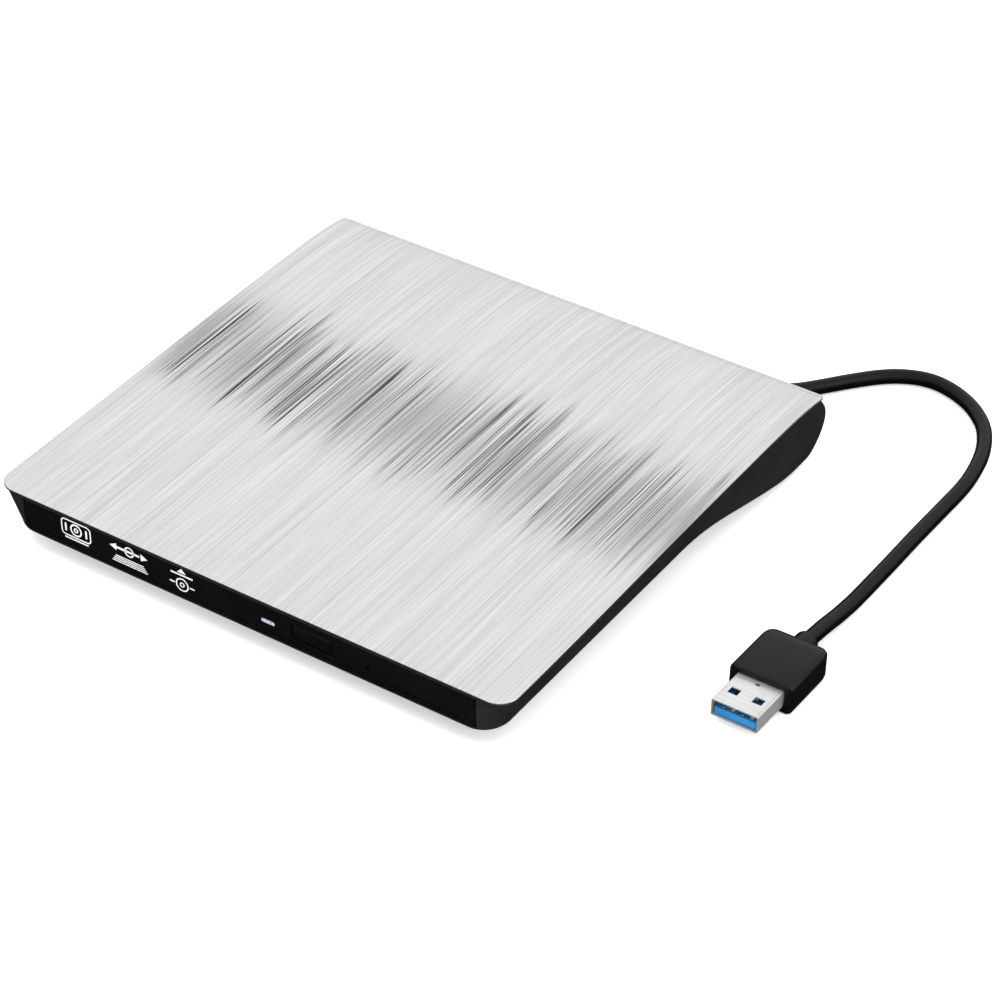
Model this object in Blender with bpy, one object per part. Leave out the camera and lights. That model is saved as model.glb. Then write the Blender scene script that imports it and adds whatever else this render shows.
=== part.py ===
"""External slim optical drive with a fixed USB cable.

The case leans nose-down on four feet: two under the thin front, two under the rear bulge.
Everything in the case is modelled level, in the case's own frame, and hangs on the empty
"stance", which leans it. The cable and its plug lie level on the table.
Dimensions are in millimetres and angles in degrees; meshes are made in metres.
"""
from math import atan2, cos, degrees, pi, radians, sin, sqrt

import bmesh
import bpy
from mathutils import Matrix, Vector

MM = 0.001
GAP = 0.3

# Case
CASE_W = 145.0
PLATE_D = 140.0
PLATE_T = 0.9
FRONT_H = 10.85
CROWN = 1.75
CROWN_PEAK_Y = 46.0
CROWN_REAR = 0.2
CORNER_FRONT = 5.2
CORNER_REAR = 1.6
SHELL_CORNER_LOW = 7.5
RIM_INSET = 0.4
RIM_INSET_SIDE = 0.4
WALL = 1.5
FLOOR = 0.9
FLOOR_REAR = 1.7
SIDE_INSET_FRONT = 2.6
SIDE_INSET_REAR = 1.7
FILLET_SIDE = 2.5
FILLET_FRONT = 0.8
BULGE_START_Y = 11.0
BULGE_LOW_Y = 63.0
BULGE_TURN_Y = 36.0
BULGE_DROP = 8.6
REAR_MAX_Y = 74.6
REAR_MAX_Z = 1.5

SCREW_Y = 62.2

# Stance
FOOT_R = 5.0
FOOT_POCKET = 0.5
FRONT_FOOT = (58.0, -58.0)
REAR_FOOT = (50.0, 60.0)
FRONT_FOOT_LOW = -5.2
REAR_FOOT_LOW = -9.5
LEAN = degrees(atan2(FRONT_FOOT_LOW - REAR_FOOT_LOW, REAR_FOOT[1] - FRONT_FOOT[1]))
STANCE_Y = -2.08

# Cable store: a groove under the bulge
GROOVE_X = 60.0
GROOVE_Y = (49.5, 54.7)
GROOVE_TOP = -3.0
GROOVE_WALL = 1.5

# Drive in the case
DRIVE_HALF_W = 62.9
DRIVE_FRONT_Y = -65.4
DRIVE_REAR_Y = 57.0
DRIVE_LOW = 1.2
SHEET = 0.4
CHASSIS_TOP = 9.0
COVER_LOW = 9.3
COVER_TOP = 9.65
BEZEL_HALF_W = 64.0
BEZEL_FRONT_Y = -69.7
BEZEL_T = 4.0

# Rails
RAIL_X = (60.2, 62.1)
RAIL_Z = (2.0, 5.0)
RAIL_Y = (-63.0, 55.0)
SLIDE_X = (59.6, 61.7)
SLIDE_Z = (2.75, 4.25)
SLIDE_Y = (-62.0, 50.0)

# Tray
TRAY_HALF_W = 61.6
TRAY_LOWER_HALF_W = 59.3
TRAY_WALL = 1.5
TRAY_Y = (-65.3, 55.5)
TRAY_LOW = 2.5
TRAY_FLANGE = 5.3
TRAY_FLOOR_LOW = 5.9
TRAY_TOP = 8.6
DISC_R = 60.6
DISC_FLOOR = 6.9
SMALL_DISC_R = 41.5
SMALL_DISC_FLOOR = 6.3

# Turntable and pickup. u runs from the spindle towards the front left, v across it
SPINDLE_Y = -4.0
HUB_HOLE_R = 14.2
PLATFORM_R = 13.2
BOSS_R = 7.35
SLED_TRAVEL_FROM = 22.5
ROD_R = 0.75
ROD_Z = 4.15
MAIN_ROD_V = -15.2
SUB_ROD_V = 11.6
SCREW_V = 16.3
SCREW_R = 0.9
ROD_U = (14.3, 61.2)
FRAME_U = (-17.0, 63.5)
FRAME_V = (-17.2, 19.5)
FRAME_Z = (2.5, 2.9)
SLED_U = (15.0, 28.4)
SLED_Z = (3.2, 5.6)
CLAW_COUNT = 3

# Latch
POST_AT = (54.4, -57.0)
POST_R = 1.1
LATCH_AT = (48.6, -61.0)
LATCH_OPEN = 22.0

# Bezel features, from the drive's middle
BUTTON_X = 19.8
BUTTON_Z = 5.5
BUTTON_HALF = (5.4, 1.75)
LED_X = 7.5
LED_Z = 5.0
LED_HALF = (1.95, 0.55)
PINHOLE_X = 35.2
PINHOLE_Z = 4.5

# Cable and plug, level on the table, from the stance's foot
CABLE_R = 1.95
RELIEF_AT = (46.0, -4.0)
RELIEF_BASE_Y = 66.0
RELIEF_TIP_Y = 79.0
PLUG_X = 107.3
PLUG_FRONT_Y = -22.0
PLUG_BODY = (16.4, 18.6, 8.0)
PLUG_LOW = 0.1
COLLAR_L = 3.6
USB_SHELL = (12.0, 11.2, 4.5)
CABLE_ROUTE = [
    (46.0, 77.8, 6.24), (46.15, 80.0, 6.16), (46.9, 82.2, 5.4), (48.4, 84.8, 4.0), (50.6, 88.0, 2.68),
    (53.6, 91.9, 2.03), (57.2, 96.6, 1.97), (61.9, 102.9, 1.97), (66.8, 108.7, 1.97), (71.3, 112.4, 1.97),
    (76.2, 114.6, 1.97), (81.3, 115.0, 1.97), (87.4, 113.3, 1.97), (93.2, 110.0, 1.97), (98.5, 104.9, 1.97),
    (101.9, 99.4, 1.97), (104.5, 92.8, 1.97), (106.2, 85.2, 1.97), (107.1, 77.4, 1.97), (107.2, 66.9, 1.97),
    (107.2, 53.6, 1.97), (107.4, 41.3, 1.97), (107.5, 29.8, 1.97), (107.5, 21.3, 2.0), (107.4, 14.2, 2.5),
    (107.3, 7.4, 3.4), (107.3, 0.5, 4.1)]
CABLE_STEP = 6.0


def crown(y):
    """Height of the top plate's skin above its front edge."""
    front = -PLATE_D / 2
    if y <= CROWN_PEAK_Y:
        return CROWN * (1 - cos(pi * max(0.0, y - front) / (CROWN_PEAK_Y - front))) / 2
    fall = min(1.0, (y - CROWN_PEAK_Y) / (PLATE_D / 2 - CROWN_PEAK_Y))
    return CROWN_REAR + (CROWN - CROWN_REAR) * cos(pi / 2 * fall ** 1.6)


def smoothstep(value, start, end):
    s = min(1.0, max(0.0, (value - start) / (end - start)))
    return s * s * (3 - 2 * s)


def underside(y):
    """Height of the case's underside: flat, then falling smoothly into the bulge."""
    return -BULGE_DROP * smoothstep(y, BULGE_START_Y, BULGE_LOW_Y)


def rear_wall(z):
    """How far back the bulge reaches at a height."""
    low = -BULGE_DROP
    rim = FRONT_H - PLATE_T - GAP
    if z < REAR_MAX_Z:
        q = min(1.0, (REAR_MAX_Z - z) / (REAR_MAX_Z - low))
        return BULGE_LOW_Y + (REAR_MAX_Y - BULGE_LOW_Y) * sqrt(1 - q * q)
    q = min(1.0, (z - REAR_MAX_Z) / (rim - REAR_MAX_Z))
    return REAR_MAX_Y - (REAR_MAX_Y - PLATE_D / 2 + RIM_INSET) * q * q


def table_height(y):
    """Height, in the case's frame, of the table that the feet stand on."""
    slope = (REAR_FOOT_LOW - FRONT_FOOT_LOW) / (REAR_FOOT[1] - FRONT_FOOT[1])
    return FRONT_FOOT_LOW + slope * (y - FRONT_FOOT[1])


def make_empty(name, location=(0, 0, 0), rotation=(0, 0, 0), parent=None):
    empty = bpy.data.objects.new(name, None)
    bpy.context.scene.collection.objects.link(empty)
    empty.location = Vector(location) * MM
    empty.rotation_euler = [radians(a) for a in rotation]
    empty.parent = parent
    return empty


def material(name, colour, roughness, metallic=0.0):
    made = bpy.data.materials.new(name)
    made.use_nodes = True
    shader = made.node_tree.nodes["Principled BSDF"]
    shader.inputs["Base Color"].default_value = (*colour, 1.0)
    shader.inputs["Roughness"].default_value = roughness
    shader.inputs["Metallic"].default_value = metallic
    return made


def add(name, bm, finish, parent, origin=(0, 0, 0), smooth=True):
    """Turn a bmesh in millimetres into a named object whose origin is its own joint or centre."""
    bmesh.ops.recalc_face_normals(bm, faces=bm.faces)
    bmesh.ops.translate(bm, vec=-Vector(origin), verts=bm.verts)
    bmesh.ops.scale(bm, vec=(MM, MM, MM), verts=bm.verts)
    mesh = bpy.data.meshes.new(name)
    bm.to_mesh(mesh)
    bm.free()
    if smooth:
        mesh.shade_smooth()
        mesh.set_sharp_from_angle(angle=radians(32))
    if finish:
        mesh.materials.append(finish)
    made = bpy.data.objects.new(name, mesh)
    bpy.context.scene.collection.objects.link(made)
    made.location = Vector(origin) * MM
    made.parent = parent
    return made


def combine(target, bm, operation):
    """Cut a shape out of an object, or fuse one to it. The shape shares the object's frame."""
    count = len(target.modifiers)
    tool = add(f"{target.name}_tool_{count}", bm, None, target.parent, smooth=False)
    tool.hide_render = True
    tool.display_type = "WIRE"
    boolean = target.modifiers.new(f"{operation.lower()}_{count}", "BOOLEAN")
    boolean.operation = operation
    boolean.object = tool
    return tool


def cut(target, bm):
    return combine(target, bm, "DIFFERENCE")


def fuse(target, bm):
    return combine(target, bm, "UNION")


def prism(outline, z0, z1, bm=None):
    """A closed outline drawn in plan and given a height."""
    bm = bm or bmesh.new()
    low = [bm.verts.new((x, y, z0)) for x, y in outline]
    high = [bm.verts.new((x, y, z1)) for x, y in outline]
    bm.faces.new(low)
    bm.faces.new(high)
    for i in range(len(outline)):
        j = (i + 1) % len(outline)
        bm.faces.new((low[i], low[j], high[j], high[i]))
    return bm


def box(x0, x1, y0, y1, z0, z1, bm=None):
    return prism([(x0, y0), (x1, y0), (x1, y1), (x0, y1)], z0, z1, bm)


def circle(x, y, r, count=32):
    return [(x + r * cos(2 * pi * i / count), y + r * sin(2 * pi * i / count)) for i in range(count)]


def rounded(x0, x1, y0, y1, r, steps=4):
    """A rectangle with round corners."""
    points = []
    corners = [(x1 - r, y1 - r, 0), (x0 + r, y1 - r, 90), (x0 + r, y0 + r, 180), (x1 - r, y0 + r, 270)]
    for cx, cy, start in corners:
        for i in range(steps + 1):
            a = radians(start + 90 * i / steps)
            points.append((cx + r * cos(a), cy + r * sin(a)))
    return points


def turned(profile, centre, count=32, axis="Z"):
    """A solid turned about an axis through centre; the profile lists (radius, distance along)."""
    bm = bmesh.new()
    rings = []
    for r, h in profile:
        if r < 1e-6:
            rings.append([bm.verts.new((0, 0, h))])
        else:
            rings.append([bm.verts.new((x, y, h)) for x, y in circle(0, 0, r, count)])
    closed = len(rings[0]) > 1
    pairs = list(zip(rings, rings[1:]))
    if closed:
        pairs.append((rings[-1], rings[0]))
    for a, b in pairs:
        for i in range(count):
            j = (i + 1) % count
            corners = [a[i % len(a)], a[j % len(a)], b[j % len(b)], b[i % len(b)]]
            bm.faces.new(list(dict.fromkeys(corners)))
    turn = {"Z": Matrix(), "Y": Matrix.Rotation(-pi / 2, 4, "X"), "X": Matrix.Rotation(pi / 2, 4, "Y")}[axis]
    bmesh.ops.transform(bm, matrix=Matrix.Translation(centre) @ turn, verts=bm.verts)
    return bm


def bar(p, q, r, count=16):
    """A round bar between two points."""
    p, q = Vector(p), Vector(q)
    bm = turned([(0, 0), (r, 0), (r, (q - p).length), (0, (q - p).length)], (0, 0, 0), count)
    turn = (q - p).to_track_quat("Z", "Y").to_matrix().to_4x4()
    bmesh.ops.transform(bm, matrix=Matrix.Translation(p) @ turn, verts=bm.verts)
    return bm


def loft(levels):
    """A solid symmetric about X = 0, skinned through levels of points listed front to rear."""
    bm = bmesh.new()
    loops = []
    for level in levels:
        right = [bm.verts.new(p) for p in level]
        left = [bm.verts.new((-x, y, z)) for x, y, z in level]
        loops.append((right, left))
    for (ra, la), (rb, lb) in zip(loops, loops[1:]):
        a, b = ra + la[::-1], rb + lb[::-1]
        for i in range(len(a)):
            j = (i + 1) % len(a)
            bm.faces.new((a[i], a[j], b[j], b[i]))
    for right, left in (loops[0], loops[-1]):
        for i in range(len(right) - 1):
            bm.faces.new((right[i], right[i + 1], left[i + 1], left[i]))
    return bm


def plate_stations(side=0.0, end=0.0, front_r=CORNER_FRONT, rear_r=CORNER_REAR):
    """Right half of the plate's outline, front to rear: place and outward direction.

    side and end draw the outline in from the plate's own edges.
    """
    half_w, half_d = CASE_W / 2 - side, PLATE_D / 2 - end
    stations = []
    for i in range(6):
        a = radians(-90 + 18 * i)
        stations.append((half_w - front_r * (1 - cos(a)), -half_d + front_r * (1 + sin(a)), cos(a), sin(a)))
    first, last, count = -half_d + front_r, half_d - rear_r, 17
    for i in range(1, count):
        t = i / count
        stations.append((half_w, first + (last - first) * (1 - (1 - t) ** 1.35), 1.0, 0.0))
    for i in range(6):
        a = radians(18 * i)
        stations.append((half_w - rear_r * (1 - cos(a)), half_d - rear_r * (1 - sin(a)), cos(a), sin(a)))
    return stations


def plate_level(inset, drop):
    return [(x - nx * inset, y - ny * inset, FRONT_H + crown(y) - drop) for x, y, nx, ny in plate_stations()]


def wall_level(down, roll, inside=False):
    """One level of the case's wall, on its outside or its inside.

    down is the share of the way from the rim to the bottom edge's rounding, and roll is the
    angle round that edge.
    """
    level = []
    a = radians(roll)
    thick = WALL if inside else 0.0
    front, rear = CORNER_FRONT - PLATE_D / 2, PLATE_D / 2 - CORNER_REAR
    for _, py, nx, ny in plate_stations():
        share = min(1.0, max(0.0, (py - BULGE_START_Y) / (BULGE_LOW_Y - BULGE_START_Y)))
        floor_t = (FLOOR + (FLOOR_REAR - FLOOR) * share) if inside else 0.0
        fillet = FILLET_SIDE + (FILLET_FRONT - FILLET_SIDE) * max(0.0, -ny)
        if inside:
            fillet *= 0.5
        rim = FRONT_H - PLATE_T - GAP + crown(py)
        low = underside(py) + floor_t
        z = rim + (low + fillet - rim) * down - fillet * sin(a)
        inwards = thick + fillet * (1 - cos(a))
        lean_in = SIDE_INSET_FRONT + (SIDE_INSET_REAR - SIDE_INSET_FRONT) * share
        side = CASE_W / 2 - RIM_INSET_SIDE - inwards - lean_in * down
        corner, y = 0.0, py
        if py < front + 0.01:
            corner = CORNER_FRONT + (SHELL_CORNER_LOW - CORNER_FRONT) * down - inwards
            y = RIM_INSET - PLATE_D / 2 + inwards + corner * (1 + ny)
        elif py > rear - 0.01:
            corner = max(0.6, CORNER_REAR - thick)
            y = PLATE_D / 2 - thick - corner * (1 - ny)
        x = side - corner * (1 - nx)
        y += smoothstep(py, BULGE_TURN_Y, rear) * (rear_wall(z - floor_t * down) - PLATE_D / 2)
        level.append((x, y, z))
    return level


def uv(u, v, z=None):
    """A place on the pickup's own axes, in the drive's frame."""
    s = sqrt(0.5)
    x, y = -s * u + s * v, SPINDLE_Y - s * u - s * v
    return (x, y) if z is None else (x, y, z)


def uv_box(u0, u1, v0, v1, z0, z1, bm=None):
    return prism([uv(u0, v0), uv(u1, v0), uv(u1, v1), uv(u0, v1)], z0, z1, bm)


def make_case(stance, mats):
    plate = loft([plate_level(0.25, PLATE_T), plate_level(0.0, PLATE_T - 0.2), plate_level(0.0, 0.25),
                  plate_level(0.08, 0.08), plate_level(0.3, 0.0)])
    add("top_plate", plate, mats["brushed metal"], stance)

    wall = [wall_level(1, a, True) for a in (90, 45, 0)]
    wall += [wall_level(d, 0, True) for d in (0.7, 0.4, 0.2, 0.0)]
    wall += [wall_level(d, 0) for d in (0.0, 0.2, 0.4, 0.7)]
    wall += [wall_level(1, a) for a in (0, 30, 60, 90)]
    shell = add("lower_shell", loft(wall), mats["black plastic"], stance)
    groove_low = -BULGE_DROP - 1
    ends = GROOVE_X + GROOVE_WALL
    fuse(shell, box(-ends, ends, GROOVE_Y[0] - GROOVE_WALL, GROOVE_Y[1] + GROOVE_WALL,
                    underside(GROOVE_Y[0]) + FLOOR / 2, GROOVE_TOP + GROOVE_WALL))
    cut(shell, box(-GROOVE_X, GROOVE_X, *GROOVE_Y, groove_low, GROOVE_TOP))
    cut(shell, box(-BEZEL_HALF_W - GAP, BEZEL_HALF_W + GAP, -PLATE_D, BEZEL_FRONT_Y + 6, FLOOR, FRONT_H + 5))
    relief_x, relief_z = RELIEF_AT
    bore = [(0, 0), (2.8, 0), (2.8, 2.8), (2.35, 2.8), (2.35, 22), (0, 22)]
    cut(shell, turned(bore, (relief_x, RELIEF_BASE_Y - 1.5, relief_z), 24, "Y"))

    ring_top, ring_low = [], []
    for x, y, _, _ in plate_stations(RIM_INSET_SIDE + WALL + 1.2, RIM_INSET + WALL + 1.2, 2.1, 1.0):
        z = FRONT_H - PLATE_T - GAP + crown(y)
        ring_top.append((x, y, z))
        ring_low.append((x, y, z - 1.6))
    frame = add("upper_frame", loft([ring_low, ring_top]), mats["black plastic"], stance)
    cut(frame, box(-DRIVE_HALF_W - 0.4, DRIVE_HALF_W + 0.4, -PLATE_D, DRIVE_REAR_Y + 0.5, 0, 20))
    cut(frame, box(-BEZEL_HALF_W - GAP, BEZEL_HALF_W + GAP, -PLATE_D, BEZEL_FRONT_Y + 6, 0, 20))
    for side, x in (("left", -16.0), ("right", 16.0)):
        fuse(frame, prism(circle(x, SCREW_Y, 2.4, 20), -5.9, 9.4))
        cut(frame, prism(circle(x, SCREW_Y, 1.1, 16), -7, 4.0))
        cut(shell, prism(circle(x, SCREW_Y, 1.4, 16), -12, -6.0))
        cut(shell, prism(circle(x, SCREW_Y, 2.4, 20), -12, -7.6))
        profile = [(0, -8.45), (1.7, -8.45), (2.0, -8.25), (2.0, -7.9), (0.8, -7.9), (0.8, 3.0), (0, 3.4)]
        screw = turned(profile, (x, SCREW_Y, 0), 20)
        add(f"case_screw_{side}", screw, mats["dark steel"], stance, (x, SCREW_Y, -8))

    rear_pocket = REAR_FOOT_LOW + 1.6
    for end, (fx, fy), pocket in (("front", FRONT_FOOT, FOOT_POCKET), ("rear", REAR_FOOT, rear_pocket)):
        for side, sx in (("left", -fx), ("right", fx)):
            top = pocket - GAP
            cut(shell, prism(circle(sx, fy, FOOT_R + GAP, 28), pocket - 4, pocket))
            foot = prism(circle(sx, fy, FOOT_R, 28), 0, 1)
            for v in foot.verts:
                v.co.z = top if v.co.z > 0.5 else table_height(v.co.y)
            bmesh.ops.bevel(foot, geom=[e for e in foot.edges if all(v.co.z < top - 0.1 for v in e.verts)],
                            offset=0.3, segments=1, affect="EDGES")
            add(f"foot_{end}_{side}", foot, mats["rubber"], stance, (sx, fy, top))

    length = RELIEF_TIP_Y - RELIEF_BASE_Y
    profile = [(0, 0), (2.5, 0), (2.5, 1.0), (2.05, 1.0), (2.05, 8.4), (3.0, 8.6), (3.0, 9.4), (2.8, 10.0),
               (2.3, length), (0, length)]
    relief = turned(profile, (relief_x, RELIEF_BASE_Y, relief_z), 24, "Y")
    add("cable_strain_relief", relief, mats["rubber"], stance, (relief_x, REAR_MAX_Y, relief_z))


def make_bridge(stance, mats):
    """The converter board between the drive's socket and the cable."""
    add("bridge_board", box(20, 60, 58.6, 66.4, 2.0, 2.9), mats["board"], stance, (40, 62.5, 2.45), False)
    add("bridge_chip", box(46, 53, 62.6, 66.0, 3.2, 4.1), mats["chip"], stance, (49.5, 64.3, 3.2), False)
    socket = add("sata_socket", box(26, 57, 58.2, 62.2, 3.2, 6.6), mats["black plastic"], stance,
                 (41.5, 60, 3.2), False)
    cut(socket, box(27.5, 55.5, 57, 60.8, 4.2, 5.6))


def make_drive_case(drive, mats):
    half, front, rear = DRIVE_HALF_W, DRIVE_FRONT_Y, DRIVE_REAR_Y
    pan = box(-half, half, front, rear, DRIVE_LOW, CHASSIS_TOP)
    chassis = add("drive_chassis", pan, mats["steel"], drive, smooth=False)
    cut(chassis, box(-half + SHEET, half - SHEET, front - 5, rear - SHEET, DRIVE_LOW + SHEET, 20))
    cut(chassis, box(25.4, 57.8, rear - 3, rear + 3, 2.0, 20))
    cut(chassis, prism(rounded(-42, 42, 8, 44, 8), 0, 3))
    for x in (-50.0, 50.0):
        cut(chassis, prism(rounded(x - 4, x + 4, -40, 0, 4), 0, 3))

    lid = box(-half, half, front + 0.4, rear, COVER_LOW, COVER_TOP)
    cover = add("drive_top_cover", lid, mats["steel"], drive, smooth=False)
    cut(cover, prism(circle(-52, 49, 2.2, 16), 0, 20))

    for side, s in (("left", -1), ("right", 1)):
        x0, x1 = sorted((s * RAIL_X[0], s * RAIL_X[1]))
        outer = add(f"outer_rail_{side}", box(x0, x1, *RAIL_Y, *RAIL_Z), mats["bright steel"], drive,
                    (s * RAIL_X[1], 0, 3.5), False)
        outer_tool = box(*sorted((s * (RAIL_X[0] - 2), s * (RAIL_X[1] - 0.1))), RAIL_Y[0] - 1, RAIL_Y[1] - 1,
                         RAIL_Z[0] + 0.45, RAIL_Z[1] - 0.45)
        cut(outer, outer_tool)
        bx0, bx1 = sorted((s * SLIDE_X[0], s * SLIDE_X[1]))
        slide = add(f"slide_rail_{side}", box(bx0, bx1, *SLIDE_Y, *SLIDE_Z), mats["bright steel"], drive,
                    (s * SLIDE_X[0], 0, 3.5), False)
        for y in range(-54, 50, 20):
            cut(slide, box(-80, 80, y, y + 8, 3.2, 3.8))

    plug = add("drive_sata_plug", box(26.0, 57.2, 50.6, 56.9, 2.3, 6.6), mats["black plastic"], drive,
               (41.6, 54, 2.3), False)
    cut(plug, box(27.5, 55.7, 53.0, 60, 3.3, 5.6))
    post = turned([(0, 1.9), (POST_R, 1.9), (POST_R, 3.2), (POST_R - 0.2, 3.4), (0, 3.4)], (*POST_AT, 0), 16)
    add("latch_post", post, mats["bright steel"], drive, (*POST_AT, 1.9))


def make_tray(drive, mats):
    y0, y1 = TRAY_Y
    notch = (24.5, 49.6)
    upper = [(-TRAY_HALF_W, y0), (TRAY_HALF_W, y0), (TRAY_HALF_W, notch[1]), notch, (notch[0], y1),
             (-TRAY_HALF_W, y1)]
    tray = add("tray", prism(upper, TRAY_FLANGE, TRAY_TOP), mats["tray plastic"], drive, smooth=False)
    low_w = TRAY_LOWER_HALF_W
    lower = [(-low_w, y0), (low_w, y0), (low_w, notch[1]), notch, (notch[0], y1), (-low_w, y1)]
    fuse(tray, prism([(x * 0.9999, y * 0.9999) for x, y in lower], TRAY_LOW, TRAY_FLANGE + 0.4))
    w = TRAY_WALL
    hollow = [(-low_w + w, y0 + w), (low_w - w, y0 + w), (low_w - w, notch[1] - w),
              (notch[0] - w, notch[1] - w), (notch[0] - w, y1 - w), (-low_w + w, y1 - w)]
    cut(tray, prism(hollow, 0, TRAY_FLOOR_LOW))
    cut(tray, prism(circle(0, SPINDLE_Y, DISC_R, 96), DISC_FLOOR, 20))
    cut(tray, prism(circle(0, SPINDLE_Y, SMALL_DISC_R, 72), SMALL_DISC_FLOOR, 20))
    cut(tray, prism(circle(0, SPINDLE_Y, HUB_HOLE_R, 40), 0, 20))
    cut(tray, uv_box(8, 62.2, -13.4, 13.4, 0, 20))
    cut(tray, box(POST_AT[0] - 2, POST_AT[0] + 2, y0 + 1.0, 60, 0, 3.9))
    cut(tray, box(LED_X - 1.1, LED_X + 1.1, y0 - 2, y0 + 3, 4.2, 5.8))
    cut(tray, box(BUTTON_X - 2, BUTTON_X + 2, y0 - 2, y0 + 3, 4.6, 6.4))

    plate = [(-59.0, y0 + 1.2), (50.0, y0 + 1.2), (50.0, 48.5), (23.0, 48.5), (23.0, y1 - 1), (-59.0, y1 - 1)]
    bottom = add("tray_bottom_plate", prism(plate, 1.9, 2.2), mats["steel"], drive, smooth=False)
    cut(bottom, uv_box(20, 56, -11, 9, 0, 5))
    cut(bottom, prism(rounded(-36, -12, 26, 42, 3), 0, 5))

    back = BEZEL_FRONT_Y + BEZEL_T - 0.2
    front = box(-BEZEL_HALF_W, BEZEL_HALF_W, BEZEL_FRONT_Y, back, DRIVE_LOW, COVER_TOP)
    bezel = add("tray_bezel", front, mats["black plastic"], drive, (0, BEZEL_FRONT_Y, 5.4), False)
    cut(bezel, box(-BEZEL_HALF_W + 1.4, BEZEL_HALF_W - 1.4, BEZEL_FRONT_Y + 1.4, BEZEL_FRONT_Y + 20,
                   DRIVE_LOW + 1.2, COVER_TOP - 1.0))
    bw, bh = BUTTON_HALF
    bw, bh = bw + GAP, bh + GAP
    cut(bezel, box(BUTTON_X - bw, BUTTON_X + bw, -80, -60, BUTTON_Z - bh, BUTTON_Z + bh))
    lw, lh = LED_HALF
    lw, lh = lw + GAP, lh + GAP
    cut(bezel, box(LED_X - lw, LED_X + lw, -80, -60, LED_Z - lh, LED_Z + lh))
    cut(bezel, bar((PINHOLE_X, -80, PINHOLE_Z), (PINHOLE_X, -60, PINHOLE_Z), 0.55, 12))

    bw, bh = BUTTON_HALF
    button = add("eject_button", box(BUTTON_X - bw, BUTTON_X + bw, BEZEL_FRONT_Y + 0.05, BEZEL_FRONT_Y + 1.7,
                                     BUTTON_Z - bh, BUTTON_Z + bh), mats["black plastic"], drive,
                 (BUTTON_X, BEZEL_FRONT_Y, BUTTON_Z), False)
    fuse(button, box(BUTTON_X - 1.2, BUTTON_X + 1.2, BEZEL_FRONT_Y + 1, DRIVE_FRONT_Y + 2.0, 4.9, 6.1))
    lw, lh = LED_HALF
    led = add("led_window", box(LED_X - lw, LED_X + lw, BEZEL_FRONT_Y + 0.05, BEZEL_FRONT_Y + 1.6,
                                LED_Z - lh, LED_Z + lh), mats["clear plastic"], drive,
              (LED_X, BEZEL_FRONT_Y, LED_Z), False)
    fuse(led, box(LED_X - 0.8, LED_X + 0.8, BEZEL_FRONT_Y + 1, DRIVE_FRONT_Y + 2.0, LED_Z - 0.4, LED_Z + 0.4))
    add("eject_switch", box(BUTTON_X - 2.2, BUTTON_X + 2.2, -61.9, -59.4, 4.6, 5.8), mats["chip"], drive,
        (BUTTON_X, -60.5, 4.6), False)


def make_electronics(drive, mats):
    outline = [(50.5, -22), (50.5, 47.6), (-44, 47.6), (-44, 30), (0, 30), (30, 0), (40, -22)]
    add("tray_board", prism(outline, 3.3, 4.1), mats["board"], drive, (20, 36, 3.3), False)
    controller = prism(rounded(12, 28, 29, 45, 0.6, 1), 4.4, 5.5)
    add("controller_chip", controller, mats["chip"], drive, (20, 37, 4.4), False)
    driver = prism(rounded(36, 46, 6, 16, 0.5, 1), 4.4, 5.4)
    add("motor_driver_chip", driver, mats["chip"], drive, (41, 11, 4.4), False)


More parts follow.
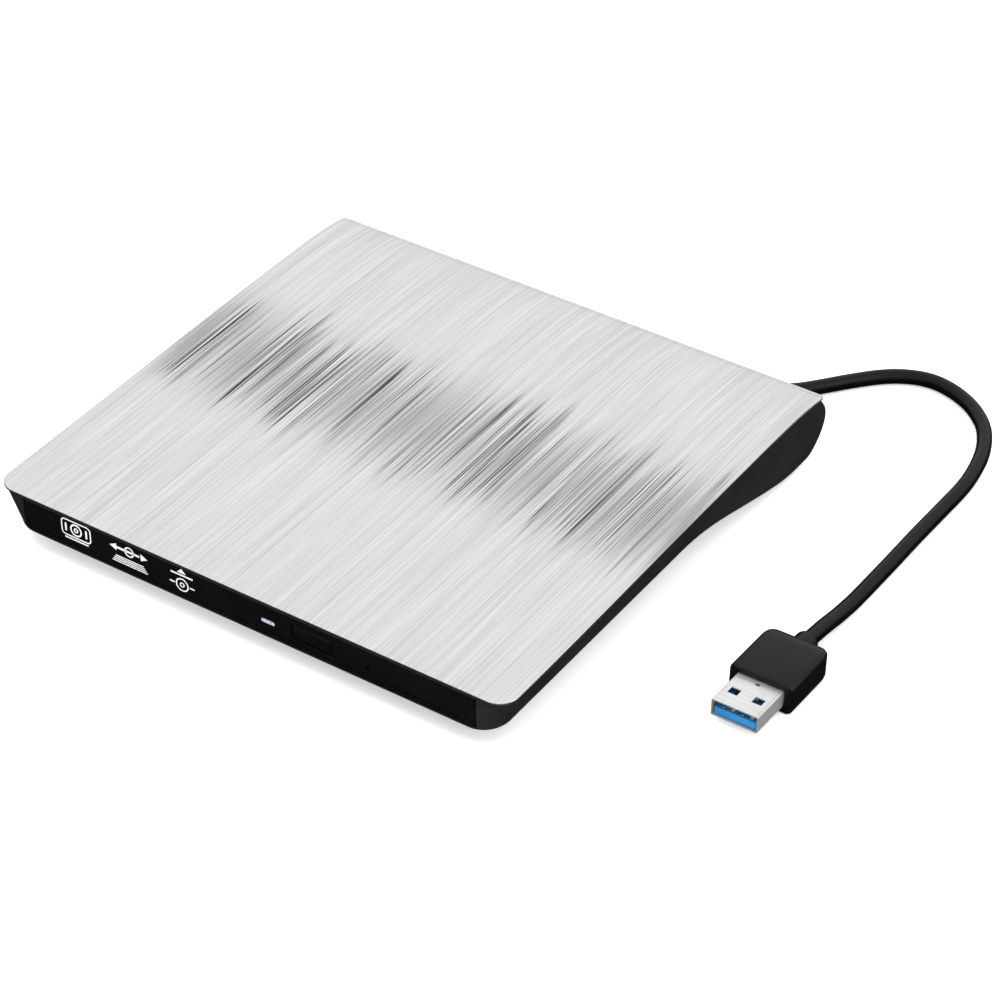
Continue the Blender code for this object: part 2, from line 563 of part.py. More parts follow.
def make_pickup(drive, mats):
    frame = add("traverse_frame", uv_box(*FRAME_U, *FRAME_V, *FRAME_Z), mats["steel"], drive, smooth=False)
    cut(frame, uv_box(20, 57, -10, 8.6, 0, 5))
    for u0, u1 in ((12.4, ROD_U[0] - GAP), (ROD_U[1] + GAP, FRAME_U[1] - 0.01)):
        for v in (MAIN_ROD_V, SUB_ROD_V):
            fuse(frame, uv_box(u0, u1, v - 1.9, v + 1.6, FRAME_Z[0] + 0.1, 5.2))
    end = (ROD_U[1] + GAP, FRAME_U[1] - 0.02)
    fuse(frame, uv_box(*end, SCREW_V - 1.8, SCREW_V + 1.6, FRAME_Z[0] + 0.1, 5.2))
    for name, v in (("guide_rod_main", MAIN_ROD_V), ("guide_rod_sub", SUB_ROD_V)):
        add(name, bar(uv(ROD_U[0], v, ROD_Z), uv(ROD_U[1], v, ROD_Z), ROD_R, 12), mats["bright steel"], drive,
            uv(ROD_U[0], v, ROD_Z))
    lead_start, lead_end = uv(10.3, SCREW_V, ROD_Z), uv(ROD_U[1], SCREW_V, ROD_Z)
    add("lead_screw", bar(lead_start, lead_end, SCREW_R, 12), mats["bright steel"], drive, lead_start)
    motor = uv_box(-2.5, 10.0, SCREW_V - 3.2, SCREW_V + 3.1, 3.2, 5.5)
    add("sled_motor", motor, mats["steel"], drive, uv(4, SCREW_V, 3.2), False)

    sled = add("pickup_sled", uv_box(*SLED_U, MAIN_ROD_V - 1.9, SUB_ROD_V + 2.0, *SLED_Z),
               mats["black plastic"], drive, uv(SLED_TRAVEL_FROM, 0, ROD_Z), False)
    u0, u1 = SLED_U
    for v in (MAIN_ROD_V, SUB_ROD_V):
        cut(sled, uv_box(u0 - 1, u1 + 1, v - ROD_R - GAP, v + ROD_R + GAP, 0, ROD_Z + ROD_R + GAP))
    cut(sled, prism(circle(0, SPINDLE_Y, 16.6, 40), 0, 20))
    cut(sled, uv_box(18.0, 27.0, -6.6, 6.6, 4.5, 20))
    fuse(sled, uv_box(24, 28, SUB_ROD_V + 1.8, SCREW_V - SCREW_R - 0.35, 3.6, 5.3))

    yoke = add("lens_yoke", uv_box(16.9, 28.1, -8.2, 8.2, 5.9, 6.5), mats["bright steel"], drive,
               uv(SLED_TRAVEL_FROM, 0, 5.9), False)
    cut(yoke, uv_box(17.9, 27.1, -6.7, 6.7, 0, 20))
    holder = add("lens_holder", uv_box(18.5, 26.5, -5.8, 5.8, 5.2, 6.7), mats["tray plastic"], drive,
                 uv(SLED_TRAVEL_FROM, 0, 5.9), False)
    lens_at = uv(SLED_TRAVEL_FROM, 0)
    cut(holder, prism(circle(*lens_at, 2.4, 24), 5.9, 20))
    lens = turned([(0, 6.2), (2.1, 6.2), (2.1, 6.5), (1.5, 6.8), (0.8, 6.98), (0, 7.04)], (*lens_at, 0), 20)
    add("objective_lens", lens, mats["glass"], drive, (*lens_at, 6.2))

    at = (0, SPINDLE_Y, 0)
    add("spindle_motor", turned([(0, 3.2), (12.0, 3.2), (12.0, 3.6), (0, 3.6)], at, 36), mats["steel"], drive,
        (0, SPINDLE_Y, 3.2))
    hub_profile = [(0, 4.0), (10.8, 4.0), (11.2, 4.3), (11.2, 5.6), (10.9, 5.8), (9.0, 5.8), (9.0, 6.1),
                   (12.9, 6.1), (PLATFORM_R, 6.4), (PLATFORM_R, 6.95), (12.9, 6.95), (12.9, 6.55),
                   (9.2, 6.55), (9.2, 6.95), (BOSS_R, 6.95), (BOSS_R, 8.1), (6.8, 8.6), (0, 8.6)]
    hub = add("spindle_hub", turned(hub_profile, at, 36), mats["black plastic"], drive, (0, SPINDLE_Y, 4))
    ring = turned([(9.5, 6.85), (12.6, 6.85), (12.6, 7.15), (9.5, 7.15)], at, 36)
    add("hub_friction_ring", ring, mats["rubber"], drive, (0, SPINDLE_Y, 6.85))
    for i in range(CLAW_COUNT):
        turn = Matrix.Translation(at) @ Matrix.Rotation(2 * pi * i / CLAW_COUNT + pi / 2, 4, "Z")
        pocket = box(3.1, 9.0, -1.7, 1.7, 7.25, 8.35)
        bmesh.ops.transform(pocket, matrix=turn, verts=pocket.verts)
        cut(hub, pocket)
        claw = prism([(4.2, -1.3), (7.3, -1.3), (7.9, -0.8), (7.9, 0.8), (7.3, 1.3), (4.2, 1.3)], 7.55, 8.05)
        bmesh.ops.transform(claw, matrix=turn, verts=claw.verts)
        add(f"disc_claw_{i + 1}", claw, mats["tray plastic"], drive, turn @ Vector((6, 0, 7.8)), False)


def make_latch(drive, mats):
    px, py = LATCH_AT
    arm = [(-2.0, -1.4), (1.6, -1.4), (1.9, 1.0), (1.9, 5.4), (6.6, 5.4), (6.6, 6.4), (5.4, 7.2), (0.4, 7.2),
           (-0.4, 2.0), (-2.0, 1.4)]
    turn = Matrix.Rotation(radians(LATCH_OPEN), 4, "Z")
    points = [turn @ Vector((x, y, 0)) for x, y in arm]
    hook = add("latch_hook", prism([(p.x + px, p.y + py) for p in points], 2.5, 3.5), mats["tray plastic"],
               drive, (px, py, 2.5), False)
    cut(hook, prism(circle(px, py, 0.8, 16), 0, 9))
    add("latch_pin", prism(circle(px, py, 0.5, 12), 2.5, 5.4), mats["bright steel"], drive, (px, py, 2.5))
    solenoid = add("latch_solenoid", box(27.0, 40.0, -58.0, -51.5, 2.5, 5.5), mats["steel"], drive,
                   (33, -55, 2.5), False)
    cut(solenoid, bar((36, -54.8, 4.0), (45, -54.8, 4.0), 1.15, 16))
    plunger = bar((37.2, -54.8, 4.0), (45.4, -54.8, 4.0), 0.85, 12)
    add("solenoid_plunger", plunger, mats["bright steel"], drive, (45.4, -54.8, 4.0))


def plug_place(x, y, z):
    return (PLUG_X + x, PLUG_FRONT_Y + y, PLUG_LOW + PLUG_BODY[2] / 2 + z)


def plug_box(w, y0, y1, h, x=0.0, z=0.0):
    cx, cy, cz = plug_place(x, 0, z)
    return box(cx - w / 2, cx + w / 2, cy + y0, cy + y1, cz - h / 2, cz + h / 2)


def make_plug(mats):
    w, length, h = PLUG_BODY
    body = bmesh.new()
    cx, cy, cz = plug_place(0, 0, 0)
    sections = [(0.0, 0.5), (0.6, 0.0), (length - 3.2, 0.0), (length - 1.0, 0.9), (length, 2.0)]
    loops = []
    for y, inset in sections:
        drop = inset * 0.7
        half_w, half_h = w / 2 - inset, h / 2 - drop
        outline = rounded(cx - half_w, cx + half_w, cz - half_h, cz + half_h, 1.5, 3)
        loops.append([body.verts.new((x, cy + y, z)) for x, z in outline])
    for a, b in zip(loops, loops[1:]):
        for i in range(len(a)):
            j = (i + 1) % len(a)
            body.faces.new((a[i], a[j], b[j], b[i]))
    body.faces.new(loops[0])
    body.faces.new(loops[-1])
    plug = add("plug_overmould", body, mats["rubber"], None, plug_place(0, length / 2, 0))
    collar_y = length - 0.5
    fuse(plug, turned([(0, 0), (2.9, 0), (2.9, COLLAR_L - 0.6), (2.5, COLLAR_L + 0.5), (0, COLLAR_L + 0.5)],
                      plug_place(0, collar_y, 0), 20, "Y"))
    sw, sl, sh = USB_SHELL
    cut(plug, plug_box(sw + 0.7, -1, 5.0, sh + 0.7))

    shell = add("plug_shell", plug_box(sw, -sl, 4.4, sh), mats["bright steel"], None,
                plug_place(0, -sl / 2, 0), False)
    cut(shell, plug_box(sw - 0.7, -sl - 1, 3.9, sh - 0.7))
    for x in (-3.1, 3.1):
        cut(shell, plug_box(2.5, -7.2, -5.0, 20, x))
    tongue = add("plug_tongue", plug_box(sw - 1.4, -sl + 0.4, 3.4, 1.9, z=-0.82), mats["usb blue"], None,
                 plug_place(0, -sl / 2, -0.8), False)
    cut(tongue, plug_box(sw - 3.4, -sl + 1.6, -2.0, 0.5, z=0.2))


def make_cable(mats):
    """The cable: a smooth curve through the route's points, cut into equal straight steps."""
    points = [Vector(p) for p in CABLE_ROUTE]
    ends = [points[0] * 2 - points[1]] + points + [points[-1] * 2 - points[-2]]
    smooth = []
    for p0, p1, p2, p3 in zip(ends, ends[1:], ends[2:], ends[3:]):
        for i in range(8):
            t = i / 8
            smooth.append(0.5 * (2 * p1 + (p2 - p0) * t + (2 * p0 - 5 * p1 + 4 * p2 - p3) * t ** 2
                                 + (3 * p1 - p0 - 3 * p2 + p3) * t ** 3))
    smooth.append(points[-1])
    total = sum((b - a).length for a, b in zip(smooth, smooth[1:]))
    count = round(total / CABLE_STEP)
    even, walked, target = [smooth[0]], 0.0, total / count
    for a, b in zip(smooth, smooth[1:]):
        step = (b - a).length
        while walked + step >= target * len(even) - 1e-9 and len(even) < count:
            even.append(a.lerp(b, (target * len(even) - walked) / step))
        walked += step
    even.append(smooth[-1])
    curve = bpy.data.curves.new("usb_cable", "CURVE")
    curve.dimensions = "3D"
    spline = curve.splines.new("POLY")
    spline.points.add(len(even) - 1)
    for target_point, p in zip(spline.points, even):
        target_point.co = (*(p * MM), 1.0)
    curve.bevel_depth = CABLE_R * MM
    curve.bevel_resolution = 2
    curve.use_fill_caps = True
    curve.materials.append(mats["rubber"])
    bpy.context.scene.collection.objects.link(bpy.data.objects.new("usb_cable", curve))


def main():
    for old in list(bpy.data.objects):
        bpy.data.objects.remove(old)
    mats = {
        "brushed metal": material("brushed metal", (0.72, 0.72, 0.71), 0.32, 1.0),
        "black plastic": material("black plastic", (0.018, 0.018, 0.020), 0.38),
        "rubber": material("rubber", (0.022, 0.022, 0.024), 0.6),
        "steel": material("steel", (0.55, 0.56, 0.57), 0.4, 1.0),
        "bright steel": material("bright steel", (0.75, 0.75, 0.76), 0.22, 1.0),
        "dark steel": material("dark steel", (0.12, 0.12, 0.13), 0.4, 1.0),
        "tray plastic": material("tray plastic", (0.03, 0.03, 0.032), 0.5),
        "board": material("board", (0.02, 0.16, 0.07), 0.5),
        "chip": material("chip", (0.03, 0.03, 0.03), 0.45),
        "clear plastic": material("clear plastic", (0.75, 0.75, 0.8), 0.3),
        "glass": material("glass", (0.35, 0.42, 0.6), 0.05),
        "usb blue": material("usb blue", (0.02, 0.2, 0.62), 0.4),
    }
    lift = -(FRONT_FOOT[1] * sin(radians(LEAN)) + FRONT_FOOT_LOW * cos(radians(LEAN)))
    stance = make_empty("stance", (0, STANCE_Y, lift), (LEAN, 0, 0))
    drive = make_empty("drive_middle", parent=stance)
    make_case(stance, mats)
    make_bridge(stance, mats)
    make_drive_case(drive, mats)
    make_tray(drive, mats)
    make_electronics(drive, mats)
    make_pickup(drive, mats)
    make_latch(drive, mats)
    make_plug(mats)
    make_cable(mats)


main()
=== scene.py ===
from math import atan2, cos, pi, radians, sin, sqrt, tau

import bmesh
import bpy
from mathutils import Matrix, Vector


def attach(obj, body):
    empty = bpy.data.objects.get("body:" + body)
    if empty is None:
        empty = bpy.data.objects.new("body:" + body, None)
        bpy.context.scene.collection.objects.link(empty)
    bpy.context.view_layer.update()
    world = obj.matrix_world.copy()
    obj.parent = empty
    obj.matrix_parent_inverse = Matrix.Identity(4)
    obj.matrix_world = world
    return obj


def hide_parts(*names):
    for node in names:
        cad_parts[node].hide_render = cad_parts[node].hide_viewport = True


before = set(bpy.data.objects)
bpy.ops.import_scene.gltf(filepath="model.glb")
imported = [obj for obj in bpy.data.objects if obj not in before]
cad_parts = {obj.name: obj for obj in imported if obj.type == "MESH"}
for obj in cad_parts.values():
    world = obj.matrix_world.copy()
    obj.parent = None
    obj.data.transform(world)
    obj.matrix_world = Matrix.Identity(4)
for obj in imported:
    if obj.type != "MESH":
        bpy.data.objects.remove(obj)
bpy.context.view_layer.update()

# All lengths are millimetres in a space's own frame; meshes are made in metres.
MM = 0.001
GAP = 0.3

# Case
CASE_W = 145.0
PLATE_D = 140.0
PLATE_T = 0.9
FRONT_H = 10.85
CROWN = 1.75
CROWN_PEAK_Y = 46.0
CROWN_REAR = 0.2
CORNER_FRONT = 5.2
CORNER_REAR = 1.6
SHELL_CORNER_LOW = 7.5
RIM_INSET = 0.4
RIM_INSET_SIDE = 0.4
WALL = 1.5
FLOOR = 0.9
FLOOR_REAR = 1.7
SIDE_INSET_FRONT = 2.6
SIDE_INSET_REAR = 1.7
FILLET_SIDE = 2.5
FILLET_FRONT = 0.8
BULGE_START_Y = 11.0
BULGE_LOW_Y = 63.0
BULGE_TURN_Y = 36.0
BULGE_DROP = 8.6
REAR_MAX_Y = 74.6
REAR_MAX_Z = 1.5
SCREW_X = 16.0
SCREW_Y = 62.2

# Stance
FOOT_R = 5.0
FOOT_POCKET = 0.5
FRONT_FOOT = (58.0, -58.0)
REAR_FOOT = (50.0, 60.0)
FRONT_FOOT_LOW = -5.2
REAR_FOOT_LOW = -9.5
LEAN = atan2(FRONT_FOOT_LOW - REAR_FOOT_LOW, REAR_FOOT[1] - FRONT_FOOT[1])
STANCE_Y = -2.08

GROOVE_X = 60.0
GROOVE_Y = (49.5, 54.7)
GROOVE_TOP = -3.0
GROOVE_WALL = 1.5

# Drive
DRIVE_FRONT_Y = -65.4
DRIVE_LOW = 1.2
COVER_TOP = 9.65
BEZEL_HALF_W = 64.0
BEZEL_FRONT_Y = -69.7
BEZEL_T = 4.0
BUTTON_X, BUTTON_Z = 19.8, 5.5
BUTTON_HALF = (5.4, 1.75)
LED_X, LED_Z = 7.5, 5.0
LED_HALF = (1.95, 0.55)
PINHOLE_X, PINHOLE_Z = 35.2, 4.5
FACE_LINE_Z = (2.28, 2.44)
TRAY_SCREWS = ((-56.0, -60.5), (56.5, -60.0), (-56.0, 50.5), (15.0, 52.4), (57.0, 45.5))
TRAY_SCREW_LOW = 7.9

# Pickup and turntable
SPINDLE_Y = -4.0
LENS_U = 22.5
SCREW_V = 16.3
LEAD_R = 0.9
LEAD_GROOVE = 0.16
LEAD_START_U = 10.3
ROD_Z = 4.15
ROD_END_U = 61.2

# Cable and plug
CABLE_R = 1.95
RELIEF_AT = (46.0, -4.0)
RELIEF_BASE_Y = 66.0
RELIEF_TIP_Y = 79.0
PLUG_X = 107.3
PLUG_FRONT_Y = -22.0
PLUG_BODY = (16.4, 18.6, 8.0)
PLUG_LOW = 0.1
COLLAR_L = 3.6
USB_SHELL = (12.0, 11.2, 4.5)
CABLE_ROUTE = [
    (46.0, 77.8, 6.24), (46.15, 80.0, 6.16), (46.9, 82.2, 5.4), (48.4, 84.8, 4.0), (50.6, 88.0, 2.68),
    (53.6, 91.9, 2.03), (57.2, 96.6, 1.97), (61.9, 102.9, 1.97), (66.8, 108.7, 1.97), (71.3, 112.4, 1.97),
    (76.2, 114.6, 1.97), (81.3, 115.0, 1.97), (87.4, 113.3, 1.97), (93.2, 110.0, 1.97), (98.5, 104.9, 1.97),
    (101.9, 99.4, 1.97), (104.5, 92.8, 1.97), (106.2, 85.2, 1.97), (107.1, 77.4, 1.97), (107.2, 66.9, 1.97),
    (107.2, 53.6, 1.97), (107.4, 41.3, 1.97), (107.5, 29.8, 1.97), (107.5, 21.3, 2.0), (107.4, 14.2, 2.5),
    (107.3, 7.4, 3.4), (107.3, 0.5, 4.1)]

# Camera, floor and lights, in metres
VIEW_PLACE = (0.36652, -0.53078, 0.46245)
VIEW_RIGHT = (0.83002, 0.55726, 0.02272)
VIEW_UP = (-0.34071, 0.47437, 0.81173)
VIEW_LENS = 117.17
VIEW_SENSOR = 36.0
FLOOR_HALF = 3.0
FLOOR_GLOW = 0.45
SKY = ((0.0, 0.02), (0.49, 0.03), (0.52, 0.55), (0.62, 0.95), (1.0, 1.0))
LAMPS = (("top_light", 1.6, 17.0, (0.1, -0.1, 1.5), False),
         ("side_light", 0.8, 2.0, (1.1, 0.1, 0.7), True))

LIFT = -(FRONT_FOOT[1] * sin(LEAN) + FRONT_FOOT_LOW * cos(LEAN))
TABLE_SPACE = Matrix.Scale(MM, 4)
CASE_ORIGIN = Matrix.Translation((0, STANCE_Y * MM, LIFT * MM))
CASE_SPACE = CASE_ORIGIN @ Matrix.Rotation(LEAN, 4, "X") @ Matrix.Scale(MM, 4)


# ---------------------------------------------------------------- shapes

def smoothstep(value, start, end):
    s = min(1.0, max(0.0, (value - start) / (end - start)))
    return s * s * (3 - 2 * s)


def crown(y):
    """Height of the top plate's skin above its front edge."""
    front = -PLATE_D / 2
    if y <= CROWN_PEAK_Y:
        return CROWN * (1 - cos(pi * max(0.0, y - front) / (CROWN_PEAK_Y - front))) / 2
    fall = min(1.0, (y - CROWN_PEAK_Y) / (PLATE_D / 2 - CROWN_PEAK_Y))
    return CROWN_REAR + (CROWN - CROWN_REAR) * cos(pi / 2 * fall ** 1.6)


def underside(y):
    """Height of the case's lower face: flat in front, then down into the rear bulge."""
    return -BULGE_DROP * smoothstep(y, BULGE_START_Y, BULGE_LOW_Y)


def rear_wall(z):
    """How far back the bulge's rear wall reaches at a height."""
    low = -BULGE_DROP
    rim = FRONT_H - PLATE_T - GAP
    if z < REAR_MAX_Z:
        q = min(1.0, (REAR_MAX_Z - z) / (REAR_MAX_Z - low))
        return BULGE_LOW_Y + (REAR_MAX_Y - BULGE_LOW_Y) * sqrt(1 - q * q)
    q = min(1.0, (z - REAR_MAX_Z) / (rim - REAR_MAX_Z))
    return REAR_MAX_Y - (REAR_MAX_Y - PLATE_D / 2 + RIM_INSET) * q * q


def table_height(y):
    """Height of the table under the case, in the case's own space."""
    slope = (REAR_FOOT_LOW - FRONT_FOOT_LOW) / (REAR_FOOT[1] - FRONT_FOOT[1])
    return FRONT_FOOT_LOW + slope * (y - FRONT_FOOT[1])


def stations(corner_steps=10, side_count=46):
    """Right half of the plate's outline, front to rear: place and outward direction."""
    half_w, half_d = CASE_W / 2, PLATE_D / 2
    found = []
    for i in range(corner_steps + 1):
        a = -pi / 2 + pi / 2 * i / corner_steps
        found.append((half_w - CORNER_FRONT * (1 - cos(a)), -half_d + CORNER_FRONT * (1 + sin(a)),
                      cos(a), sin(a)))
    first, last = -half_d + CORNER_FRONT, half_d - CORNER_REAR
    for i in range(1, side_count):
        t = i / side_count
        found.append((half_w, first + 3.0 + (last - first - 3.0) * (1 - (1 - t) ** 1.35), 1.0, 0.0))
    for i in range(corner_steps + 1):
        a = pi / 2 * i / corner_steps
        found.append((half_w - CORNER_REAR * (1 - cos(a)), half_d - CORNER_REAR * (1 - sin(a)),
                      cos(a), sin(a)))
    return found


STATIONS = stations()


def plate_level(inset, drop):
    """One level of the top plate's edge: so far in from its outline and below its skin."""
    return [(x - nx * inset, y - ny * inset, FRONT_H + crown(y) - drop) for x, y, nx, ny in STATIONS]


def wall_level(down, roll, inside=False):
    """One level of the case's wall: down its flank, then round its lower edge."""
    level = []
    a = radians(roll)
    thick = WALL if inside else 0.0
    front, rear = CORNER_FRONT - PLATE_D / 2, PLATE_D / 2 - CORNER_REAR
    for _, py, nx, ny in STATIONS:
        share = min(1.0, max(0.0, (py - BULGE_START_Y) / (BULGE_LOW_Y - BULGE_START_Y)))
        floor_t = (FLOOR + (FLOOR_REAR - FLOOR) * share) if inside else 0.0
        fillet = FILLET_SIDE + (FILLET_FRONT - FILLET_SIDE) * max(0.0, -ny)
        if inside:
            fillet *= 0.5
        rim = FRONT_H - PLATE_T - GAP + crown(py)
        low = underside(py) + floor_t
        z = rim + (low + fillet - rim) * down - fillet * sin(a)
        inwards = thick + fillet * (1 - cos(a))
        lean_in = SIDE_INSET_FRONT + (SIDE_INSET_REAR - SIDE_INSET_FRONT) * share
        side = CASE_W / 2 - RIM_INSET_SIDE - inwards - lean_in * down
        corner, y = 0.0, py
        if py < front + 0.01:
            corner = CORNER_FRONT + (SHELL_CORNER_LOW - CORNER_FRONT) * down - inwards
            y = RIM_INSET - PLATE_D / 2 + inwards + corner * (1 + ny)
        elif py > rear - 0.01:
            corner = max(0.6, CORNER_REAR - thick)
            y = PLATE_D / 2 - thick - corner * (1 - ny)
        x = side - corner * (1 - nx)
        y += smoothstep(py, BULGE_TURN_Y, rear) * (rear_wall(z - floor_t * down) - PLATE_D / 2)
        level.append((x, y, z))
    return level


def loft(levels):
    """A solid symmetric about X = 0, skinned through levels of points listed front to rear."""
    bm = bmesh.new()
    loops = []
    for level in levels:
        right = [bm.verts.new(p) for p in level]
        left = [bm.verts.new((-x, y, z)) for x, y, z in level]
        loops.append((right, left))
    for (ra, la), (rb, lb) in zip(loops, loops[1:]):
        a, b = ra + la[::-1], rb + lb[::-1]
        for i in range(len(a)):
            j = (i + 1) % len(a)
            bm.faces.new((a[i], a[j], b[j], b[i]))
    for right, left in (loops[0], loops[-1]):
        for i in range(len(right) - 1):
            bm.faces.new((right[i], right[i + 1], left[i + 1], left[i]))
    return bm


def skin(loops, bm=None):
    """A solid skinned through closed loops that have the same number of points."""
    bm = bm or bmesh.new()
    rings = [[bm.verts.new(p) for p in loop] for loop in loops]
    for a, b in zip(rings, rings[1:]):
        for i in range(len(a)):
            j = (i + 1) % len(a)
            bm.faces.new((a[i], a[j], b[j], b[i]))
    bm.faces.new(rings[0])
    bm.faces.new(rings[-1])
    return bm


def prism(outline, z0, z1, bm=None):
    return skin([[(x, y, z0) for x, y in outline], [(x, y, z1) for x, y in outline]], bm)


def box(x0, x1, y0, y1, z0, z1, bm=None):
    return prism([(x0, y0), (x1, y0), (x1, y1), (x0, y1)], z0, z1, bm)


def circle(x, y, r, count=48):
    return [(x + r * cos(tau * i / count), y + r * sin(tau * i / count)) for i in range(count)]


def rounded(x0, x1, y0, y1, r, steps=6):
    """A rectangle with round corners."""
    points = []
    corners = ((x1 - r, y1 - r, 0), (x0 + r, y1 - r, 90), (x0 + r, y0 + r, 180), (x1 - r, y0 + r, 270))
    for cx, cy, start in corners:
        for i in range(steps + 1):
            a = radians(start + 90 * i / steps)
            points.append((cx + r * cos(a), cy + r * sin(a)))
    return points


TURN = {"Z": Matrix(), "Y": Matrix.Rotation(-pi / 2, 4, "X"), "X": Matrix.Rotation(pi / 2, 4, "Y")}


def turned(profile, centre, count=64, axis="Z"):
    """A solid turned about an axis through centre; the profile lists (radius, distance along)."""
    bm = bmesh.new()
    rings = []
    for r, h in profile:
        if r < 1e-6:
            rings.append([bm.verts.new((0, 0, h))])
        else:
            rings.append([bm.verts.new((x, y, h)) for x, y in circle(0, 0, r, count)])
    pairs = list(zip(rings, rings[1:]))
    if len(rings[0]) > 1:
        pairs.append((rings[-1], rings[0]))
    for a, b in pairs:
        for i in range(count):
            j = (i + 1) % count
            corners = [a[i % len(a)], a[j % len(a)], b[j % len(b)], b[i % len(b)]]
            bm.faces.new(list(dict.fromkeys(corners)))
    bmesh.ops.transform(bm, matrix=Matrix.Translation(centre) @ TURN[axis], verts=bm.verts)
    return bm


def join(bm, other):
    """Adds another bmesh's shape to bm and frees it."""
    spare = bpy.data.meshes.new("spare")
    other.to_mesh(spare)
    other.free()
    bm.from_mesh(spare)
    bpy.data.meshes.remove(spare)
    return bm


def bar(p, q, r, count=24):
    p, q = Vector(p), Vector(q)
    bm = turned([(0, 0), (r, 0), (r, (q - p).length), (0, (q - p).length)], (0, 0, 0), count)
    turn = (q - p).to_track_quat("Z", "Y").to_matrix().to_4x4()
    bmesh.ops.transform(bm, matrix=Matrix.Translation(p) @ turn, verts=bm.verts)
    return bm


def uv(u, v, z=None):
    """A place on the pickup's own axes: u from the spindle to the front left, v across."""
    s = sqrt(0.5)
    x, y = -s * u + s * v, SPINDLE_Y - s * u - s * v
    return (x, y) if z is None else (x, y, z)


def smooth_line(points, steps):
    """A smooth curve through points."""
    points = [Vector(p) for p in points]
    ends = [points[0] * 2 - points[1]] + points + [points[-1] * 2 - points[-2]]
    line = []
    for p0, p1, p2, p3 in zip(ends, ends[1:], ends[2:], ends[3:]):
        for i in range(steps):
            t = i / steps
            line.append(0.5 * (2 * p1 + (p2 - p0) * t + (2 * p0 - 5 * p1 + 4 * p2 - p3) * t ** 2
                               + (3 * p1 - p0 - 3 * p2 + p3) * t ** 3))
    line.append(points[-1])
    return line


# ---------------------------------------------------------------- materials

class Paint:
    """A Principled material and the few nodes that this scene builds its surfaces from."""

    def __init__(self, name, **sockets):
        self.material = bpy.data.materials.new(name)
        self.material.use_nodes = True
        self.tree = self.material.node_tree
        self.shader = self.tree.nodes["Principled BSDF"]
        for socket, value in sockets.items():
            self.shader.inputs[socket.replace("_", " ")].default_value = value
        self.place = self.tree.nodes.new("ShaderNodeTexCoord").outputs["Object"]

    def feed(self, target, value):
        if isinstance(value, bpy.types.NodeSocket):
            self.tree.links.new(value, target)
        else:
            target.default_value = value

    def stretch(self, scale, turn=(0, 0, 0)):
        """Object coordinates in metres, times scale, turned first."""
        node = self.tree.nodes.new("ShaderNodeMapping")
        node.inputs["Rotation"].default_value = turn
        node.inputs["Scale"].default_value = scale
        self.feed(node.inputs["Vector"], self.place)
        return node.outputs["Vector"]

    def noise(self, scale, detail=2.0, roughness=0.5, distortion=0.0, turn=(0, 0, 0)):
        node = self.tree.nodes.new("ShaderNodeTexNoise")
        self.feed(node.inputs["Vector"], self.stretch(scale, turn))
        node.inputs["Scale"].default_value = 1.0
        node.inputs["Detail"].default_value = detail
        node.inputs["Roughness"].default_value = roughness
        node.inputs["Distortion"].default_value = distortion
        return node.outputs["Fac"]

    def cells(self, scale):
        node = self.tree.nodes.new("ShaderNodeTexVoronoi")
        self.feed(node.inputs["Vector"], self.stretch(scale))
        node.inputs["Scale"].default_value = 1.0
        return node.outputs["Distance"]

    def fit(self, value, low, high, to_low=0.0, to_high=1.0):
        """Maps low..high to to_low..to_high, held at the ends."""
        node = self.tree.nodes.new("ShaderNodeMapRange")
        node.interpolation_type = "SMOOTHSTEP"
        for socket, v in zip(node.inputs[1:5], (low, high, to_low, to_high)):
            socket.default_value = v
        self.feed(node.inputs[0], value)
        return node.outputs[0]

    def maths(self, operation, a, b=0.0, c=0.0):
        node = self.tree.nodes.new("ShaderNodeMath")
        node.operation = operation
        for socket, value in zip(node.inputs, (a, b, c)):
            self.feed(socket, value)
        return node.outputs[0]

    def axis(self, name):
        node = self.tree.nodes.new("ShaderNodeSeparateXYZ")
        self.feed(node.inputs[0], self.place)
        return node.outputs[name]

    def colours(self, fac, low, high):
        """A colour between low and high."""
        node = self.tree.nodes.new("ShaderNodeMix")
        node.data_type = "RGBA"
        self.feed(node.inputs[0], fac)
        for socket, value in ((node.inputs[6], low), (node.inputs[7], high)):
            self.feed(socket, value if isinstance(value, bpy.types.NodeSocket) else (*value, 1.0))
        return node.outputs[2]

    def bump(self, height, distance):
        """A bump so many metres deep, laid over any bump before it."""
        node = self.tree.nodes.new("ShaderNodeBump")
        node.inputs["Strength"].default_value = 1.0
        node.inputs["Distance"].default_value = distance
        self.feed(node.inputs["Height"], height)
        normal = self.shader.inputs["Normal"]
        if normal.is_linked:
            self.feed(node.inputs["Normal"], normal.links[0].from_socket)
        self.feed(normal, node.outputs["Normal"])

    def colour(self, value):
        self.feed(self.shader.inputs["Base Color"], value)

    def rough(self, value):
        self.feed(self.shader.inputs["Roughness"], value)


def shade(colour, factor):
    return tuple(min(1.0, c * factor) for c in colour)


